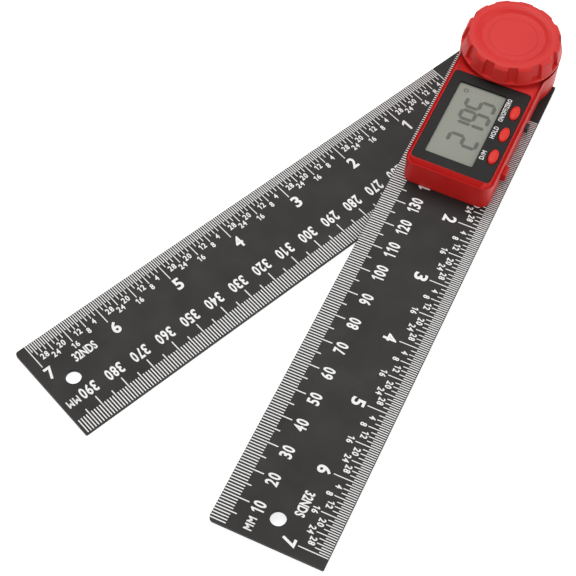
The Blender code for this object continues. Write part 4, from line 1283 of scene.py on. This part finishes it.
@dataclass
class Knob:
    """The red locking knob: a dished cap with finger grooves round its side."""

    bottom: float = 15.5
    top: float = 22.45
    radius: float = 17.6
    side: float = 17.45
    flange: float = 1.0
    flange_round: float = 0.12
    foot_round: float = 0.15
    taper: float = 0.75
    shoulder: float = 1.9
    rim: float = 2.2
    rim_drop: float = 0.4
    floor: float = 20.85
    dish_slope: float = 1.9
    cap: float = 8.5
    cap_bottom: float = 19.55
    cap_gap: float = 0.1
    cap_room: float = 0.04
    cap_round: float = 0.05
    hollow: float = 13.6
    hollow_round: float = 0.1
    hollow_top: float = 18.8
    boss: float = 8.4
    socket: float = 6.65
    socket_top: float = 18.25
    grooves: int = 12
    groove_phase: float = -10.5
    groove_width: float = 3.3
    groove_depth: float = 1.15
    groove_soft: float = 1.1
    groove_fade: float = 0.1

    DISH_SHARES = (0.12, 0.3, 0.5, 0.7, 0.88, 1.0)
    RIM_STEPS = ((0.35, 0.18), (0.8, 0.05), (1.4, 0.0))

    def _profile(self) -> list[Point]:
        """Lists the knob's section from the cap's recess, over the rim, to the socket below."""
        side_top, wall_top = self.side - self.taper, self.top - self.shoulder
        crest = side_top - self.shoulder
        edge = crest - self.rim
        recess, wall = self.cap_bottom - self.cap_gap, self.cap + self.cap_room
        points = [(0.0, recess), (wall, recess), (wall, self.floor - self.cap_room)]
        points += [(self.cap + 2 * self.cap_room, self.floor), (edge - self.dish_slope, self.floor)]
        rise = self.top - self.rim_drop - self.floor
        for share in self.DISH_SHARES:
            points.append((edge - self.dish_slope * (1 - share), self.floor + rise * smooth(share)))
        points += [(edge + out, self.top - down) for out, down in self.RIM_STEPS]
        for index in range(11):
            angle = QUARTER * (1 - index / 10)
            radius = crest + self.shoulder * math.cos(angle)
            points.append((radius, self.top - self.shoulder * (1 - math.sin(angle))))
        ledge = self.bottom + self.flange
        low = ledge + 0.06
        for share in (0.33, 0.66):
            points.append((side_top + self.taper * share, wall_top - share * (wall_top - low)))
        points += [(self.side, low), (self.side, ledge), (self.radius - self.flange_round, ledge)]
        points += [(self.radius, ledge - self.flange_round), (self.radius, self.bottom + self.foot_round)]
        points.append((self.radius - self.foot_round, self.bottom))
        points.append((self.hollow + self.hollow_round, self.bottom))
        points += [(self.hollow, self.bottom + self.hollow_round), (self.hollow, self.hollow_top)]
        points += [(self.boss, self.hollow_top), (self.boss, self.bottom), (self.socket, self.bottom)]
        return [*points, (self.socket, self.socket_top), (0.0, self.socket_top)]

    def _groove_floor(self, z: float) -> float:
        """The radius that the grooves are cut down to at a height."""
        low, high = self.bottom + self.flange, self.top - self.shoulder
        share = max(0.0, (z - low) / (high - low))
        return self.side - self.taper * share - self.groove_depth + self.groove_fade * share

    def body(self) -> None:
        """Spins the knob and presses the grooves into its side."""
        solid = Solid()
        verts = [solid.bm.verts.new((r * MM, 0.0, z * MM)) for r, z in self._profile()]
        edges = [solid.bm.edges.new(pair) for pair in zip(verts, verts[1:])]
        pitch, soft = 360.0 / self.grooves, self.groove_soft
        half = math.degrees(self.groove_width / 2 / self.side)
        start = Matrix.Rotation(math.radians(self.groove_phase - half - soft), 3, "Z")
        bmesh.ops.rotate(solid.bm, verts=verts, cent=(0, 0, 0), matrix=start)
        spans = ((soft, 3), (2 * half, 4), (soft, 3), (pitch - 2 * half - 2 * soft, 8))
        geom = [*verts, *edges]
        for angle, steps in spans * self.grooves:
            geom = bmesh.ops.spin(
                solid.bm,
                geom=geom,
                cent=(0, 0, 0),
                axis=(0, 0, 1),
                angle=math.radians(angle),
                steps=steps,
                use_duplicate=False,
            )["geom_last"]
        bmesh.ops.remove_doubles(solid.bm, verts=solid.bm.verts, dist=WELD)
        low = self.bottom + self.flange + 0.02
        for vert in solid.bm.verts:
            z = vert.co.z / MM
            radius = vert.co.xy.length / MM
            if z < low or radius < self.side - self.taper - self.shoulder + 0.1:
                continue
            angle = math.degrees(math.atan2(vert.co.y, vert.co.x)) - self.groove_phase
            offset = abs((angle + pitch / 2) % pitch - pitch / 2)
            share = smooth(min(1.0, max(0.0, (half + soft - offset) / soft)))
            floor = self._groove_floor(z)
            if share > 0 and radius > floor:
                wanted = radius + (floor - radius) * share
                vert.co.xy = vert.co.xy * (wanted / radius)
        solid.place("knob_body", KNOB_RED, Body.KNOB, Slot.KNOB, ["locking_knob"], sharp=40.0)

    def disc(self) -> None:
        """Builds the plain disc in the middle of the dish."""
        solid = Solid()
        base = solid.fill(solid.circle(0.0, 0.0, self.cap, self.cap_bottom, 128))
        face = solid.raise_faces(base, self.floor - self.cap_bottom - self.cap_round)[0]
        solid.round_over(face, self.cap_round, 2)
        solid.place("knob_disc", KNOB_RED, Body.KNOB, Slot.KNOB, ["knob_cap"])

    def build(self) -> None:
        """Builds the knob and its disc."""
        self.body()
        self.disc()


class Studio:
    """A pale floor, soft lamps and the camera at the photograph's angle."""

    AZIMUTH = math.radians(22.94)
    ELEVATION = math.radians(57.28)
    ROLL = math.radians(2.35)
    DISTANCE = 480.6
    TARGET = (-31.11, -117.34, 3.8)
    FOCAL = 1497.4
    FRAME = 576
    SENSOR = 36.0
    WHITE = (1.0, 1.0, 1.0, 1.0)
    SURROUND = 0.28
    FLOOR_TONE = (0.6, 0.6, 0.6, 1.0)
    FLOOR_GLOW = 0.8
    LAMP_AIM = (-0.02, -0.09, 0.0)
    LAMPS = (
        ("key_lamp", (-0.2, 0.2, 0.8), 0.6, 4.4),
        ("front_lamp", (-0.15, -0.8, 0.45), 0.8, 2.3),
        ("right_lamp", (0.7, 0.1, 0.35), 0.8, 2.7),
    )

    def camera(self) -> None:
        """Sets the camera where the photograph was taken from."""
        azimuth, elevation, roll = self.AZIMUTH, self.ELEVATION, self.ROLL
        level = math.cos(elevation)
        back = Vector((math.sin(azimuth) * level, -math.cos(azimuth) * level, math.sin(elevation)))
        side = Vector((0.0, 0.0, 1.0)).cross(back).normalized()
        rise = back.cross(side)
        across = math.cos(roll) * side + math.sin(roll) * rise
        upward = -math.sin(roll) * side + math.cos(roll) * rise
        data = bpy.data.cameras.new("camera")
        data.sensor_width = self.SENSOR
        data.sensor_fit = "HORIZONTAL"
        data.lens = self.FOCAL * self.SENSOR / self.FRAME
        data.clip_start = 0.01
        data.clip_end = 20.0
        camera = add_object("camera", data)
        turn = Matrix((across, upward, back)).transposed().to_4x4()
        where = (Vector(self.TARGET) + back * self.DISTANCE) * MM
        camera.matrix_world = Matrix.Translation(where) @ turn
        bpy.context.scene.camera = camera

    def lamp(self, name: str, place: tuple[float, float, float], size: float, power: float) -> None:
        """Hangs a soft square lamp that faces the tool.

        Args:
            name: The lamp's name.
            place: Where it hangs, in metres.
            size: Its side in metres.
            power: Its power in watts.
        """
        data = bpy.data.lights.new(name, "AREA")
        data.shape = "SQUARE"
        data.size = size
        data.energy = power
        lamp = add_object(name, data)
        lamp.location = place
        aim = Vector(self.LAMP_AIM) - Vector(place)
        lamp.rotation_euler = aim.to_track_quat("-Z", "Y").to_euler()

    def _seen(self, tree: bpy.types.ShaderNodeTree) -> bpy.types.NodeSocket:
        """Finds the rays that see the background: the camera's own, and those off gloss and through glass.

        Args:
            tree: The nodes of the world or of the floor.

        Returns:
            A socket that is 1 for such a ray.
        """
        path = add_node(tree, "LightPath", {})
        seen = path.outputs["Is Camera Ray"]
        for ray in ("Is Transmission Ray", "Is Glossy Ray"):
            either = add_node(tree, "Math", {})
            either.operation = "MAXIMUM"
            tree.links.new(seen, either.inputs[0])
            tree.links.new(path.outputs[ray], either.inputs[1])
            seen = either.outputs[0]
        return seen

    def world(self) -> None:
        """Lights the surroundings plainly and shows them white."""
        world = bpy.data.worlds.new("studio")
        bpy.context.scene.world = world
        world.use_nodes = True
        tree = world.node_tree
        light = tree.nodes["Background"]
        set_inputs(light, {"Color": self.WHITE, "Strength": self.SURROUND})
        white = add_node(tree, "Background", {"Color": self.WHITE, "Strength": 1.0})
        mix = add_node(tree, "MixShader", {})
        tree.links.new(self._seen(tree), mix.inputs[0])
        wire(tree, (light, 0, mix, 1), (white, 0, mix, 2), (mix, 0, tree.nodes["World Output"], "Surface"))

    def floor(self) -> None:
        """Lays the pale floor, which reads white and keeps the tool's soft shadow."""
        solid = Solid()
        bmesh.ops.create_grid(solid.bm, x_segments=1, y_segments=1, size=3.0)
        bmesh.ops.translate(solid.bm, verts=solid.bm.verts, vec=(0.0, 0.0, -0.0002))
        mesh = solid.to_mesh("floor")
        floor = add_object("floor", mesh)
        material = bpy.data.materials.new("floor_pale")
        material.use_nodes = True
        tree = material.node_tree
        shader = tree.nodes["Principled BSDF"]
        set_inputs(shader, {"Base Color": self.FLOOR_TONE, "Roughness": 0.9, "Specular IOR Level": 0.0})
        glow = add_node(tree, "Emission", {"Strength": self.FLOOR_GLOW})
        dark = add_node(tree, "Emission", {"Strength": 0.0})
        lit = add_node(tree, "MixShader", {})
        total = add_node(tree, "AddShader", {})
        tree.links.new(self._seen(tree), lit.inputs[0])
        wire(tree, (dark, 0, lit, 1), (glow, 0, lit, 2), (shader, 0, total, 0), (lit, 0, total, 1))
        wire(tree, (total, 0, tree.nodes["Material Output"], "Surface"))
        mesh.materials.append(material)

    def build(self) -> None:
        """Sets up the whole studio."""
        self.camera()
        self.world()
        self.floor()
        for lamp in self.LAMPS:
            self.lamp(*lamp)
        bpy.context.scene.view_settings.view_transform = "Standard"


def dress_frame() -> None:
    """Gives every fixed node the node material of its slot."""
    slots = {part["node"]: part["material_slot"] for part in frame["record"]["subparts"]}
    for name, node in frame["nodes"].items():
        material = CARRIED_OVER[slots[name]].material()
        if not node.material_slots:
            node.data.materials.append(material)
        for slot in node.material_slots:
            slot.material = material


def main() -> None:
    """Builds the tool in order, from the rulers up to the knob, and the studio round it."""
    dress_frame()
    LOG.info("rulers")
    Ruler(
        name="lower",
        body=Body.LOWER_ARM,
        bottom=0.0,
        metric=Facing.RIGHT,
        metric_corner=0.5,
        inch_corner=1.0,
        bore=0.0,
        first=390,
        step=-10,
        turn=-ARM_ANGLE,
        figure_shift=0.75,
        number_shift=0.5,
        unit_place=(7.2, 3.7),
    ).build()
    Ruler(
        name="upper",
        body=Body.UPPER_ARM,
        bottom=2.3,
        metric=Facing.LEFT,
        metric_corner=1.4,
        inch_corner=0.5,
        bore=9.2,
        first=10,
        step=10,
    ).build()
    LOG.info("head")
    head = Head()
    head.build()
    Display().build(head)
    Keys().build(head)
    LOG.info("knob")
    Knob().build()
    Studio().build()


if __name__ == "__main__":
    main()
